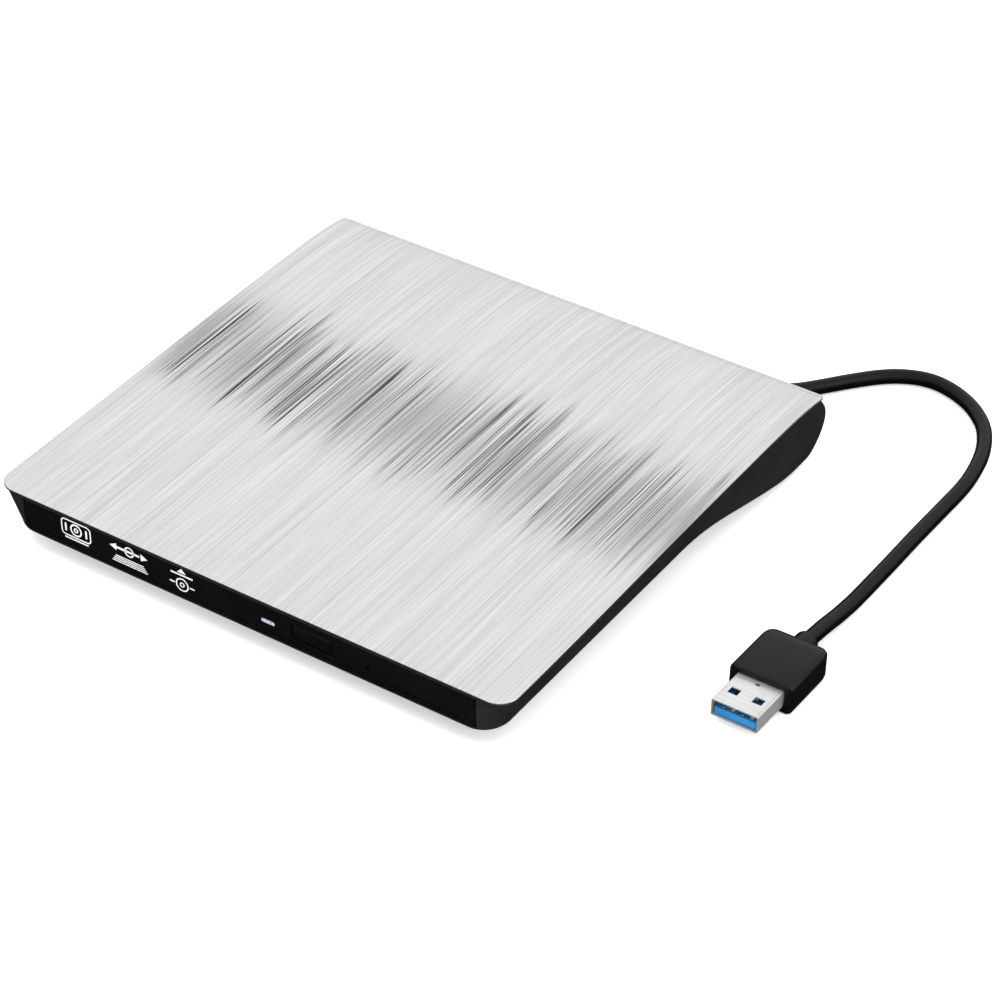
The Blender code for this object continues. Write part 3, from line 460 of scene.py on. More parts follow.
def moulded(name, colour, roughness, grain, cell, specular, coat=0.0, dust=1.25):
    """Moulded plastic: a fine spark-eroded grain, faint flow marks and handling wear."""
    p = Paint(name, Specular_IOR_Level=specular, Coat_Weight=coat, Coat_Roughness=0.06)
    flow = p.noise((90, 60, 90), 4.0, 0.55, 0.4)
    fine = p.noise((1 / cell,) * 3, 3.0, 0.6)
    speck = p.noise((2.6 / cell,) * 3, 1.0)
    body = p.colours(p.fit(flow, 0.3, 0.7), shade(colour, 0.84), shade(colour, 1.14))
    p.colour(p.colours(p.fit(speck, 0.62, 0.8, 0.0, 0.55), body, shade(colour, dust)))
    worn = p.maths("MULTIPLY_ADD", p.fit(flow, 0.25, 0.75, -1.0, 1.0), 0.05, roughness)
    p.rough(p.maths("MULTIPLY_ADD", p.fit(fine, 0.3, 0.7, -1.0, 1.0), 0.04, worn))
    if grain:
        p.bump(fine, grain)
    return p.material


def metal(name, colour, roughness, lines=(40, 2500, 2500), depth=0.000004, spots=0.1, metallic=1.0):
    """Drawn or rolled metal: fine lines along one axis, soft stains and small scratches."""
    p = Paint(name, Metallic=metallic)
    draw = p.noise(lines, 3.0, 0.6)
    stain = p.noise((70, 70, 70), 4.0, 0.6, 0.6)
    scratch = p.noise((260, 5200, 900), 1.0, 0.5, 0.2, (0.3, 0.2, 0.9))
    body = p.colours(p.fit(draw, 0.3, 0.7), shade(colour, 0.9), shade(colour, 1.06))
    dull = p.colours(p.fit(stain, 0.45, 0.75, 0.0, 1.0), body, shade(colour, 1.0 - spots))
    p.colour(p.colours(p.fit(scratch, 0.72, 0.78, 0.0, 0.5), dull, shade(colour, 1.12)))
    stained = p.maths("MULTIPLY_ADD", p.fit(stain, 0.3, 0.7, -1.0, 1.0), 0.06, roughness)
    p.rough(p.maths("MULTIPLY_ADD", p.fit(draw, 0.3, 0.7, -1.0, 1.0), 0.05, stained))
    p.bump(draw, depth)
    return p.material


def brushed_skin_and_painted_reflection():
    """The top plate: fine front-to-back brushing, with a painted reflection across it: a soft band of dark
    streaks, a dark veil and bright glints painted into the colour.
    """
    p = Paint("brushed_top_skin_painted_reflection", Metallic=1.0, Anisotropic=0.55)
    hair = p.noise((4800, 30, 30), 2.0, 0.6)
    line = p.noise((3100, 15, 15), 2.0, 0.5)
    streak = p.noise((520, 9, 9), 2.0, 0.6)
    cluster = p.noise((75, 6, 6), 3.0, 0.7)
    reach = p.noise((420, 4, 4), 3.0, 0.75)
    y = p.axis("Y")
    # Painted reflection: a soft band across the plate with a wavering edge, where dark streaks and bright
    # glints are painted into the colour.
    shifted = p.maths("MULTIPLY_ADD", p.fit(reach, 0.25, 0.75, -1.0, 1.0), 0.007, y)
    painted_reflection_band = p.maths("MULTIPLY", p.fit(shifted, -0.026, 0.0), p.fit(shifted, 0.002, 0.030, 1.0, 0.0))
    reflection_band_core = p.maths("MULTIPLY", p.fit(painted_reflection_band, 0.05, 0.6), p.fit(cluster, 0.40, 0.56, 0.15, 1.0))
    # The painted reflection's dark streaks and bright glints, gathered in clusters inside the band.
    painted_dark_streaks = p.maths("MULTIPLY", reflection_band_core, p.fit(line, 0.53, 0.62))
    painted_glints = p.maths("MULTIPLY", reflection_band_core, p.fit(line, 0.36, 0.45, 0.85, 0.0))
    # A painted dark veil of the reflection over the whole band.
    painted_reflection_veil = p.maths("MULTIPLY", painted_reflection_band, p.fit(streak, 0.32, 0.68, 0.32, 0.56))
    pale = p.colours(p.fit(hair, 0.32, 0.68), (0.66, 0.66, 0.665), (0.86, 0.86, 0.855))
    lined = p.colours(p.fit(line, 0.56, 0.74, 0.0, 0.30), pale, (0.52, 0.52, 0.525))
    lit = p.colours(p.fit(line, 0.28, 0.42, 0.35, 0.0), lined, (0.97, 0.97, 0.965))
    reflection_veiled = p.colours(painted_reflection_veil, lit, (0.20, 0.20, 0.205))
    # The painted reflection's dark streaks, then its bright glints, laid over the brushed colour.
    painted_reflection_dark = p.colours(painted_dark_streaks, reflection_veiled, (0.018, 0.018, 0.02))
    p.colour(p.colours(painted_glints, painted_reflection_dark, (0.96, 0.96, 0.955)))
    p.rough(p.fit(line, 0.3, 0.7, 0.28, 0.40))
    p.bump(line, 0.000008)
    p.bump(hair, 0.000003)
    tangent = p.tree.nodes.new("ShaderNodeTangent")
    tangent.direction_type = "UV_MAP"
    p.feed(p.shader.inputs["Tangent"], tangent.outputs[0])
    return p.material


def circuit():
    """Green solder mask with tracks, vias and a faint weave."""
    p = Paint("circuit_board", Specular_IOR_Level=0.5, Coat_Weight=0.4, Coat_Roughness=0.15)
    tracks = p.tree.nodes.new("ShaderNodeTexBrick")
    p.feed(tracks.inputs["Vector"], p.stretch((420, 420, 420), (0, 0, pi / 4)))
    tracks.inputs["Scale"].default_value = 1.0
    tracks.inputs["Mortar Size"].default_value = 0.06
    vias = p.cells((520, 520, 520))
    weave = p.noise((3000, 3000, 3000), 1.0)
    mask = p.colours(p.fit(tracks.outputs["Fac"], 0.3, 0.7), (0.006, 0.07, 0.03), (0.02, 0.15, 0.06))
    p.colour(p.colours(p.fit(vias, 0.10, 0.14, 1.0, 0.0), mask, (0.55, 0.5, 0.3)))
    p.rough(p.fit(weave, 0.3, 0.7, 0.32, 0.45))
    p.bump(tracks.outputs["Fac"], 0.00002)
    return p.material


def window():
    """The light's frosted window."""
    p = Paint("light_window", Transmission_Weight=0.25, Specular_IOR_Level=0.5)
    frost = p.noise((1600, 1600, 1600), 3.0, 0.6)
    p.colour(p.colours(p.fit(frost, 0.3, 0.7), (0.50, 0.50, 0.62), (0.72, 0.72, 0.84)))
    p.rough(p.fit(frost, 0.3, 0.7, 0.22, 0.42))
    p.bump(frost, 0.000006)
    return p.material


def lens_glass():
    """Coated glass, blue to violet in soft clouds."""
    p = Paint("lens_glass", Metallic=0.2, Coat_Weight=1.0, Coat_Roughness=0.02)
    cloud = p.noise((500, 500, 500), 2.0)
    p.colour(p.colours(p.fit(cloud, 0.35, 0.65), (0.10, 0.14, 0.34), (0.20, 0.16, 0.42)))
    p.rough(p.fit(cloud, 0.3, 0.7, 0.04, 0.08))
    return p.material


def rubber(name, colour, roughness, specular=0.35, sheen=0.08):
    """Soft black moulding: matt, with a fine skin and some bloom."""
    p = Paint(name, Specular_IOR_Level=specular, Sheen_Weight=sheen, Sheen_Roughness=0.5)
    bloom = p.noise((160, 160, 160), 4.0, 0.6, 0.5)
    fine = p.noise((3800, 3800, 3800), 2.0, 0.6)
    p.colour(p.colours(p.fit(bloom, 0.3, 0.75), shade(colour, 0.82), shade(colour, 1.3)))
    p.rough(p.maths("MULTIPLY_ADD", p.fit(bloom, 0.3, 0.7, -1.0, 1.0), 0.07, roughness))
    p.bump(fine, 0.000012)
    return p.material


MATS = {
    "top_skin": brushed_skin_and_painted_reflection(),
    "case_plastic": moulded("case_plastic", (0.0150, 0.0155, 0.0185), 0.46, 0.000014, 0.00040, 0.35,
                            dust=1.15),
    "bezel_plastic": moulded("bezel_plastic", (0.0034, 0.0035, 0.0039), 0.24, 0.0, 0.0009, 0.25, 0.12, 1.0),
    "tray_plastic": moulded("tray_plastic", (0.014, 0.014, 0.0155), 0.5, 0.00002, 0.0003, 0.4),
    "foot_rubber": rubber("foot_rubber", (0.020, 0.020, 0.022), 0.72),
    "cable_jacket": rubber("cable_jacket", (0.0016, 0.0016, 0.0018), 0.34, 0.22, 0.0),
    "sheet_steel": metal("sheet_steel", (0.56, 0.57, 0.58), 0.36),
    "bright_steel": metal("bright_steel", (0.80, 0.80, 0.81), 0.20, (60, 1800, 1800), 0.000002, 0.06),
    "screw_steel": metal("screw_steel", (0.10, 0.10, 0.105), 0.38, (900, 900, 60), 0.000003, 0.2),
    "circuit_board": circuit(),
    "chip_epoxy": moulded("chip_epoxy", (0.018, 0.018, 0.019), 0.55, 0.000014, 0.00022, 0.4),
    "light_window": window(),
    "lens_glass": lens_glass(),
    "usb_blue": moulded("usb_blue", (0.010, 0.20, 0.50), 0.34, 0.000004, 0.0004, 0.5, 0.1, 1.1),
    "overmould": moulded("plug_overmould_plastic", (0.0030, 0.0030, 0.0034), 0.36, 0.000004, 0.0003, 0.25),
    "plug_steel": metal("plug_steel", (0.72, 0.72, 0.725), 0.32, (60, 1800, 1800), 0.000002, 0.1, 0.7),
    "icon_print": moulded("icon_print", (0.78, 0.78, 0.79), 0.5, 0.000003, 0.0002, 0.4, 0.0, 1.0),
    "contact_plate": metal("contact_plate", (0.83, 0.75, 0.55), 0.24, (1500, 200, 200), 0.000001, 0.08),
}


# ---------------------------------------------------------------- pieces

def made(name, bm, space, body, slot, nodes=(), finish=None, bevel=0.0, segments=2, angle=32, flat=False):
    """Turns a bmesh into a named piece that rides on a body and stands for some CAD nodes."""
    bmesh.ops.transform(bm, matrix=space, verts=bm.verts)
    bmesh.ops.recalc_face_normals(bm, faces=bm.faces)
    mesh = bpy.data.meshes.new(name)
    bm.to_mesh(mesh)
    bm.free()
    obj = bpy.data.objects.new(name, mesh)
    bpy.context.scene.collection.objects.link(obj)
    mesh.materials.append(finish or MATS[slot])
    if not flat:
        mesh.shade_smooth()
        mesh.set_sharp_from_angle(angle=radians(angle))
    if bevel:
        edge = obj.modifiers.new("edges", "BEVEL")
        edge.width = bevel * MM
        edge.segments = segments
        edge.limit_method = "ANGLE"
        edge.angle_limit = radians(angle)
        edge.use_clamp_overlap = True
        edge.harden_normals = False
    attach(obj, body)
    if nodes:
        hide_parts(*nodes)
    return obj


def carve(target, bm, space, operation="DIFFERENCE"):
    """Cuts a shape out of a piece for good, or joins one to it."""
    bmesh.ops.transform(bm, matrix=space, verts=bm.verts)
    bmesh.ops.recalc_face_normals(bm, faces=bm.faces)
    mesh = bpy.data.meshes.new("tool")
    bm.to_mesh(mesh)
    bm.free()
    tool = bpy.data.objects.new("tool", mesh)
    bpy.context.scene.collection.objects.link(tool)
    step = target.modifiers.new("carve", "BOOLEAN")
    step.operation = operation
    step.object = tool
    step.solver = "EXACT"
    target.modifiers.move(len(target.modifiers) - 1, 0)
    graph = bpy.context.evaluated_depsgraph_get()
    for other in target.modifiers:
        other.show_viewport = other == step
    graph.update()
    result = bpy.data.meshes.new_from_object(target.evaluated_get(graph))
    for other in target.modifiers:
        other.show_viewport = True
    target.modifiers.remove(step)
    old, target.data = target.data, result
    bpy.data.meshes.remove(old)
    result.name = target.name
    result.shade_smooth()
    result.set_sharp_from_angle(angle=radians(32))
    bpy.data.objects.remove(tool)
    bpy.data.meshes.remove(mesh)


def refined(node, body, slot, bevel, segments=2):
    """A CAD node's own shape, its flat faces cleaned and its edges rounded."""
    bm = bmesh.new()
    bm.from_mesh(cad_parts[node].data)
    bmesh.ops.remove_doubles(bm, verts=bm.verts, dist=1e-6)
    bmesh.ops.dissolve_limit(bm, angle_limit=radians(0.6), verts=bm.verts, edges=bm.edges)
    return made(f"{node}_finished", bm, Matrix(), body, slot, (node,), bevel=bevel, segments=segments)


def make_top_plate():
    rim = [plate_level(0.3, PLATE_T), plate_level(0.1, PLATE_T - 0.06), plate_level(0.0, PLATE_T - 0.2),
           plate_level(0.0, 0.34), plate_level(0.03, 0.2), plate_level(0.1, 0.09), plate_level(0.22, 0.02),
           plate_level(0.36, 0.0), plate_level(0.9, 0.0)]
    plate = made("top_plate_skin", loft(rim), CASE_SPACE, "root", "top_skin", ("top_plate",), angle=50)
    layer = plate.data.uv_layers.new(name="across")
    for loop in plate.data.loops:
        co = plate.data.vertices[loop.vertex_index].co
        layer.data[loop.index].uv = (co.x * 6 + 0.5, co.y * 6 + 0.5)
    return plate


def make_shell():
    inside = [wall_level(1, a, True) for a in (90, 45, 0)]
    inside += [wall_level(d, 0, True) for d in (0.7, 0.4, 0.2, 0.0)]
    outside = [wall_level(d / 12, 0) for d in range(13)]
    outside += [wall_level(1, 90 * i / 8) for i in range(1, 9)]
    shell = made("case_shell", loft(inside + outside), CASE_SPACE, "root", "case_plastic", ("lower_shell",))
    ends = GROOVE_X + GROOVE_WALL
    carve(shell, box(-ends, ends, GROOVE_Y[0] - GROOVE_WALL, GROOVE_Y[1] + GROOVE_WALL,
                     underside(GROOVE_Y[0]) + FLOOR / 2, GROOVE_TOP + GROOVE_WALL), CASE_SPACE, "UNION")
    carve(shell, box(-GROOVE_X, GROOVE_X, *GROOVE_Y, -BULGE_DROP - 1, GROOVE_TOP), CASE_SPACE)
    mouth = BEZEL_HALF_W + GAP
    carve(shell, box(-mouth, mouth, -PLATE_D, BEZEL_FRONT_Y + 6, FLOOR, FRONT_H + 5), CASE_SPACE)
    bore = [(0, 0), (2.8, 0), (2.8, 2.8), (2.35, 2.8), (2.35, 22), (0, 22)]
    carve(shell, turned(bore, (RELIEF_AT[0], RELIEF_BASE_Y - 1.5, RELIEF_AT[1]), 40, "Y"), CASE_SPACE)
    holes = bmesh.new()
    for s in (-1, 1):
        prism(circle(s * SCREW_X, SCREW_Y, 2.4, 32), -12, -7.6, holes)
        prism(circle(s * FRONT_FOOT[0], FRONT_FOOT[1], FOOT_R + GAP, 48), -3, FOOT_POCKET, holes)
        prism(circle(s * REAR_FOOT[0], REAR_FOOT[1], FOOT_R + GAP, 48), -12, REAR_FOOT_LOW + 1.6, holes)
    carve(shell, holes, CASE_SPACE)
    holes = bmesh.new()
    for s in (-1, 1):
        prism(circle(s * SCREW_X, SCREW_Y, 1.4, 24), -12, -6.0, holes)
    carve(shell, holes, CASE_SPACE)
    return shell


def make_feet():
    rear_top = REAR_FOOT_LOW + 1.6 - GAP
    for end, (fx, fy), top in (("front", FRONT_FOOT, FOOT_POCKET - GAP), ("rear", REAR_FOOT, rear_top)):
        for side, sx in (("left", -fx), ("right", fx)):
            profile = [(0.0, 1.0), (1.0, 1.0), (1.0, 0.30), (0.985, 0.12), (0.94, 0.0), (0.90, 0.0),
                       (0.86, 0.10), (0.62, 0.14), (0.56, 0.0), (0.46, 0.0), (0.40, 0.12), (0.0, 0.16)]
            foot = turned([(r * FOOT_R, h) for r, h in profile], (sx, fy, 0), 64)
            for v in foot.verts:
                low = table_height(v.co.y)
                v.co.z = low + (top - low) * v.co.z
            made(f"foot_{end}_{side}_pad", foot, CASE_SPACE, "root", "foot_rubber",
                 (f"foot_{end}_{side}",), angle=40)


def make_screws():
    for side, x in (("left", -SCREW_X), ("right", SCREW_X)):
        profile = [(0, -8.45), (1.45, -8.45), (1.75, -8.38), (1.95, -8.2), (2.0, -8.05), (2.0, -7.9),
                   (0.8, -7.9)]
        for i in range(26):
            z = -7.6 + i * 0.4
            profile += [(0.68, z), (0.8, z + 0.2)]
        profile += [(0.6, 3.0), (0, 3.4)]
        screw = made(f"case_screw_{side}_threaded", turned(profile, (x, SCREW_Y, 0), 32), CASE_SPACE, "root",
                     "screw_steel", (f"case_screw_{side}",))
        for a in (0, pi / 2):
            blade = ((-1.15, -0.22), (1.15, -0.22), (1.15, 0.22), (-1.15, 0.22))
            arm = skin([[(px * s, py * s, z) for px, py in blade]
                        for z, s in ((-9.0, 1.0), (-8.3, 0.9), (-7.75, 0.35))])
            turn = Matrix.Translation((x, SCREW_Y, 0)) @ Matrix.Rotation(a + 0.5, 4, "Z")
            bmesh.ops.transform(arm, matrix=turn, verts=arm.verts)
            carve(screw, arm, CASE_SPACE)


def make_relief():
    length = RELIEF_TIP_Y - RELIEF_BASE_Y
    profile = [(0, 0), (2.5, 0), (2.5, 1.0), (2.05, 1.0), (2.05, 8.4), (2.8, 8.45), (3.0, 8.62),
               (3.0, 8.95), (2.96, 9.2)]
    y, r = 9.5, 2.86
    while y < length - 0.9:
        profile += [(r, y), (r - 0.34, y + 0.1), (r - 0.36, y + 0.38), (r - 0.03, y + 0.48),
                    (r - 0.04, y + 0.86)]
        y += 0.92
        r -= 0.13
    profile += [(2.34, length - 0.3), (2.26, length - 0.08), (2.1, length), (0, length)]
    relief = turned(profile, (RELIEF_AT[0], RELIEF_BASE_Y, RELIEF_AT[1]), 48, "Y")
    made("strain_relief_boot", relief, CASE_SPACE, "root", "cable_jacket", ("cable_strain_relief",), angle=50)


def make_bezel():
    """The tray's front: a hollow moulding, its face slightly crowned, with its small parts."""
    lw, lh = LED_HALF
    bw, bh = BUTTON_HALF
    back = BEZEL_T - 0.2
    loops = []
    for depth, inset in ((back, 0.0), (0.55, 0.0), (0.3, 0.04), (0.12, 0.14), (0.03, 0.3), (0.0, 0.5)):
        outline = rounded(-BEZEL_HALF_W + inset, BEZEL_HALF_W - inset, DRIVE_LOW + inset,
                          COVER_TOP - inset, 0.5, 4)
        loops.append([(x, BEZEL_FRONT_Y + depth, z) for x, z in outline])
    bezel = made("bezel_front", skin(loops), CASE_SPACE, "tray_body", "bezel_plastic",
                 ("tray_bezel",), angle=40)
    carve(bezel, box(-BEZEL_HALF_W + 1.4, BEZEL_HALF_W - 1.4, BEZEL_FRONT_Y + 1.4, BEZEL_FRONT_Y + 20,
                     DRIVE_LOW + 1.2, COVER_TOP - 1.0), CASE_SPACE)
    holes = bmesh.new()
    openings = ((BUTTON_X, BUTTON_Z, bw + GAP, bh + GAP, 0.75),
                (LED_X, LED_Z, lw + GAP / 2, lh + GAP / 2, 0.68))
    for x, z, w, h, r in openings:
        outline = rounded(x - w, x + w, z - h, z + h, r, 6)
        join(holes, skin([[(px, y, pz) for px, pz in outline] for y in (-80, -60)]))
    join(holes, bar((PINHOLE_X, -80, PINHOLE_Z), (PINHOLE_X, -60, PINHOLE_Z), 0.55, 24))
    carve(bezel, holes, CASE_SPACE)
    carve(bezel, box(-BEZEL_HALF_W - 1, BEZEL_HALF_W + 1, BEZEL_FRONT_Y - 0.2,
                     BEZEL_FRONT_Y + 0.16, *FACE_LINE_Z), CASE_SPACE)

    def cap(name, x, z, w, h, r, y0, y1, edge, stem, body, slot, nodes):
        loops = []
        for depth, inset in ((y1 - y0, 0.0), (edge, 0.0), (edge * 0.45, edge * 0.16),
                             (edge * 0.12, edge * 0.5), (0.0, edge)):
            outline = rounded(x - w + inset, x + w - inset, z - h + inset, z + h - inset,
                              max(0.12, r - inset), 6)
            loops.append([(px, y0 + depth, pz) for px, pz in outline])
        piece = made(name, skin(loops), CASE_SPACE, body, slot, nodes, angle=40)
        carve(piece, box(*stem), CASE_SPACE, "UNION")
        return piece

    cap("eject_button_cap", BUTTON_X, BUTTON_Z, bw, bh, 0.6, BEZEL_FRONT_Y + 0.05, BEZEL_FRONT_Y + 1.7, 0.22,
        (BUTTON_X - 1.2, BUTTON_X + 1.2, BEZEL_FRONT_Y + 1, DRIVE_FRONT_Y + 2.0, 4.9, 6.1),
        "eject_button_body", "bezel_plastic", ("eject_button",))
    cap("activity_light_window", LED_X, LED_Z, lw, lh, 0.54, BEZEL_FRONT_Y + 0.05, BEZEL_FRONT_Y + 1.6, 0.16,
        (LED_X - 0.8, LED_X + 0.8, BEZEL_FRONT_Y + 1, DRIVE_FRONT_Y + 2.0, LED_Z - 0.4, LED_Z + 0.4),
        "tray_body", "light_window", ("led_window",))


def make_tray():
    """The sliding tray: the CAD node's shape, with five screws sunk into its top."""
    tray = refined("tray", "tray_body", "tray_plastic", 0.12)
    sinks = bmesh.new()
    for x, y in TRAY_SCREWS:
        sink = [(0, TRAY_SCREW_LOW), (1.75, TRAY_SCREW_LOW), (1.75, 9.5), (0, 9.5)]
        join(sinks, turned(sink, (x, y, 0), 32))
    carve(tray, sinks, CASE_SPACE)
    for i, (x, y) in enumerate(TRAY_SCREWS):
        profile = [(0, TRAY_SCREW_LOW), (1.5, TRAY_SCREW_LOW), (1.5, 8.12), (1.42, 8.26),
                   (1.25, 8.32), (0, 8.36)]
        head = made(f"tray_screw_{i + 1}", turned(profile, (x, y, 0), 32), CASE_SPACE,
                    "tray_body", "screw_steel")
        for a in (0.3, 0.3 + pi / 2):
            arm = box(-0.85, 0.85, -0.17, 0.17, 8.06, 9.0)
            turn = Matrix.Translation((x, y, 0)) @ Matrix.Rotation(a + i, 4, "Z")
            bmesh.ops.transform(arm, matrix=turn, verts=arm.verts)
            carve(head, arm, CASE_SPACE)


def make_hub():
    at = (0, SPINDLE_Y, 0)
    skirt = [(0, 4.0), (10.7, 4.0), (11.05, 4.1), (11.2, 4.35), (11.2, 5.55), (10.9, 5.8), (9.0, 5.8)]
    table = [(9.0, 6.1), (12.85, 6.1), (13.15, 6.25), (13.2, 6.45), (13.2, 6.85), (13.12, 6.95),
             (12.98, 6.95), (12.9, 6.88), (12.9, 6.55), (9.2, 6.55), (9.2, 6.88), (9.1, 6.95)]
    boss = [(7.5, 6.95), (7.35, 7.05), (7.35, 7.9), (7.2, 8.15), (6.8, 8.45), (6.3, 8.58), (5.6, 8.6),
            (3.0, 8.6), (2.85, 8.5), (2.7, 8.3), (1.2, 8.3), (1.05, 8.4), (0, 8.42)]
    hub = made("turntable_hub", turned(skirt + table + boss, at, 96), CASE_SPACE, "spindle",
               "tray_plastic", ("spindle_hub",))
    for i in range(3):
        turn = Matrix.Translation(at) @ Matrix.Rotation(tau * i / 3 + pi / 2, 4, "Z")
        pocket = box(3.1, 9.0, -1.7, 1.7, 7.25, 8.35)
        bmesh.ops.transform(pocket, matrix=turn, verts=pocket.verts)
        carve(hub, pocket, CASE_SPACE)
        refined(f"disc_claw_{i + 1}", f"claw_{i + 1}", "tray_plastic", 0.14, 3)
    grip = turned([(9.5, 6.85), (12.6, 6.85), (12.6, 7.05), (12.5, 7.15), (12.1, 7.15), (11.9, 7.08),
                   (11.5, 7.15), (11.1, 7.08), (10.7, 7.15), (10.3, 7.08), (9.9, 7.15), (9.6, 7.15),
                   (9.5, 7.05)], at, 96)
    made("turntable_grip_ring", grip, CASE_SPACE, "spindle", "foot_rubber", ("hub_friction_ring",))
    motor = turned([(0, 3.2), (11.8, 3.2), (12.0, 3.3), (12.0, 3.5), (11.9, 3.6), (9.6, 3.6),
                    (9.5, 3.55), (0, 3.55)], at, 72)
    made("spindle_motor_base", motor, CASE_SPACE, "tray_body", "sheet_steel", ("spindle_motor",))


def make_pickup():
    x, y = uv(LENS_U, 0)
    lens = turned([(0, 6.2), (2.1, 6.2), (2.1, 6.42), (1.95, 6.5), (1.75, 6.52), (1.68, 6.66),
                   (1.4, 6.83), (1.0, 6.95), (0.5, 7.02), (0, 7.04)], (x, y, 0), 48)
    made("objective_lens_dome", lens, CASE_SPACE, "lens", "lens_glass", ("objective_lens",))
    turns, per_turn, round_count = 16, 8, 20
    rings = []
    for i in range(turns * per_turn + 1):
        u = LEAD_START_U + (ROD_END_U - LEAD_START_U) * i / (turns * per_turn)
        loop = []
        for k in range(round_count):
            a = tau * k / round_count
            phase = (i / per_turn - k / round_count) % 1.0
            r = LEAD_R - LEAD_GROOVE * max(0.0, 1 - abs(phase - 0.5) * 3.4)
            px, py, pz = uv(u, SCREW_V + r * cos(a), ROD_Z + r * sin(a))
            loop.append((px, py, pz))
        rings.append(loop)
    made("lead_screw_thread", skin(rings), CASE_SPACE, "lead_screw_body", "bright_steel",
         ("lead_screw",), angle=60)


# The CAD nodes that keep their own shape, by body: slot and rounded edge
REFINED = {
    "root": {"upper_frame": ("case_plastic", 0.15), "bridge_board": ("circuit_board", 0.05),
             "bridge_chip": ("chip_epoxy", 0.12),
             "sata_socket": ("case_plastic", 0.15), "drive_sata_plug": ("case_plastic", 0.15),
             "drive_chassis": ("sheet_steel", 0.1), "drive_top_cover": ("sheet_steel", 0.08),
             "outer_rail_left": ("bright_steel", 0.07), "outer_rail_right": ("bright_steel", 0.07),
             "latch_post": ("bright_steel", 0.06)},
    "tray_body": {"eject_switch": ("chip_epoxy", 0.15), "tray_bottom_plate": ("sheet_steel", 0.06),
                  "tray_board": ("circuit_board", 0.05), "controller_chip": ("chip_epoxy", 0.15),
                  "motor_driver_chip": ("chip_epoxy", 0.15), "traverse_frame": ("sheet_steel", 0.08),
                  "guide_rod_main": ("bright_steel", 0.1), "guide_rod_sub": ("bright_steel", 0.1),
                  "sled_motor": ("sheet_steel", 0.3), "latch_pin": ("bright_steel", 0.08),
                  "latch_solenoid": ("sheet_steel", 0.25)},
    "left_slide_rail": {"slide_rail_left": ("bright_steel", 0.08)},
    "right_slide_rail": {"slide_rail_right": ("bright_steel", 0.08)},
    "sled": {"pickup_sled": ("tray_plastic", 0.14), "lens_yoke": ("bright_steel", 0.08)},
    "lens": {"lens_holder": ("tray_plastic", 0.14)},
    "latch": {"latch_hook": ("tray_plastic", 0.1)},
    "plunger": {"solenoid_plunger": ("bright_steel", 0.12)},
}


def small_parts(name, body, parts, z):
    """Chips, capacitors and plug sockets soldered on a board, as (x, y, width, depth, height)."""
    bm = bmesh.new()
    for x, y, w, d, h in parts:
        join(bm, box(x - w / 2, x + w / 2, y - d / 2, y + d / 2, z, z + h))
    made(name, bm, CASE_SPACE, body, "chip_epoxy", bevel=0.06, segments=1)


def make_insides():
    for body, nodes in REFINED.items():
        for node, (slot, bevel) in nodes.items():
            refined(node, body, slot, bevel)
    passives = [(x, y, 1.6, 0.8, 0.6) for x in (-38, -32, -26, -20) for y in (34, 38, 42)]
    passives += [(34 + i * 2.6, 30, 0.8, 1.6, 0.6) for i in range(5)]
    sockets = [(4, 36, 6, 3, 1.2), (-8, 40, 9, 3.2, 1.2)]
    small_parts("tray_board_parts", "tray_body", passives + sockets, 4.15)
    small_parts("bridge_board_parts", "root", [(24 + i * 2.4, 64.6, 1.2, 0.7, 0.55) for i in range(6)]
                + [(42.5, 64.4, 3.2, 2.5, 0.9), (56.2, 64.5, 4.6, 2.6, 1.1)], 2.95)


def ring(cx, cz, r, width, count=48, start=0.0, sweep=tau):
    """A flat ring or arc as quads, listed as (x, z) corners."""
    quads = []
    for i in range(count):
        a, b = start + sweep * i / count, start + sweep * (i + 1) / count
        quads.append([(cx + (r + k) * cos(t), cz + (r + k) * sin(t)) for t, k in
                      ((a, -width / 2), (b, -width / 2), (b, width / 2), (a, width / 2))])
    return quads


def strip(points, width):
    """A flat line of even width through points."""
    quads = []
    for (x0, z0), (x1, z1) in zip(points, points[1:]):
        length = sqrt((x1 - x0) ** 2 + (z1 - z0) ** 2)
        nx, nz = -(z1 - z0) / length * width / 2, (x1 - x0) / length * width / 2
        quads.append([(x0 + nx, z0 + nz), (x1 + nx, z1 + nz), (x1 - nx, z1 - nz), (x0 - nx, z0 - nz)])
    return quads


def printed(name, shapes, depth=0.02):
    """A pad print on the bezel's face, as thin solid patches."""
    bm = bmesh.new()
    y = BEZEL_FRONT_Y
    for shape in shapes:
        join(bm, skin([[(x, y - depth, z) for x, z in shape], [(x, y + 0.03, z) for x, z in shape]]))
    made(name, bm, CASE_SPACE, "tray_body", "bezel_plastic", finish=MATS["icon_print"], flat=True)


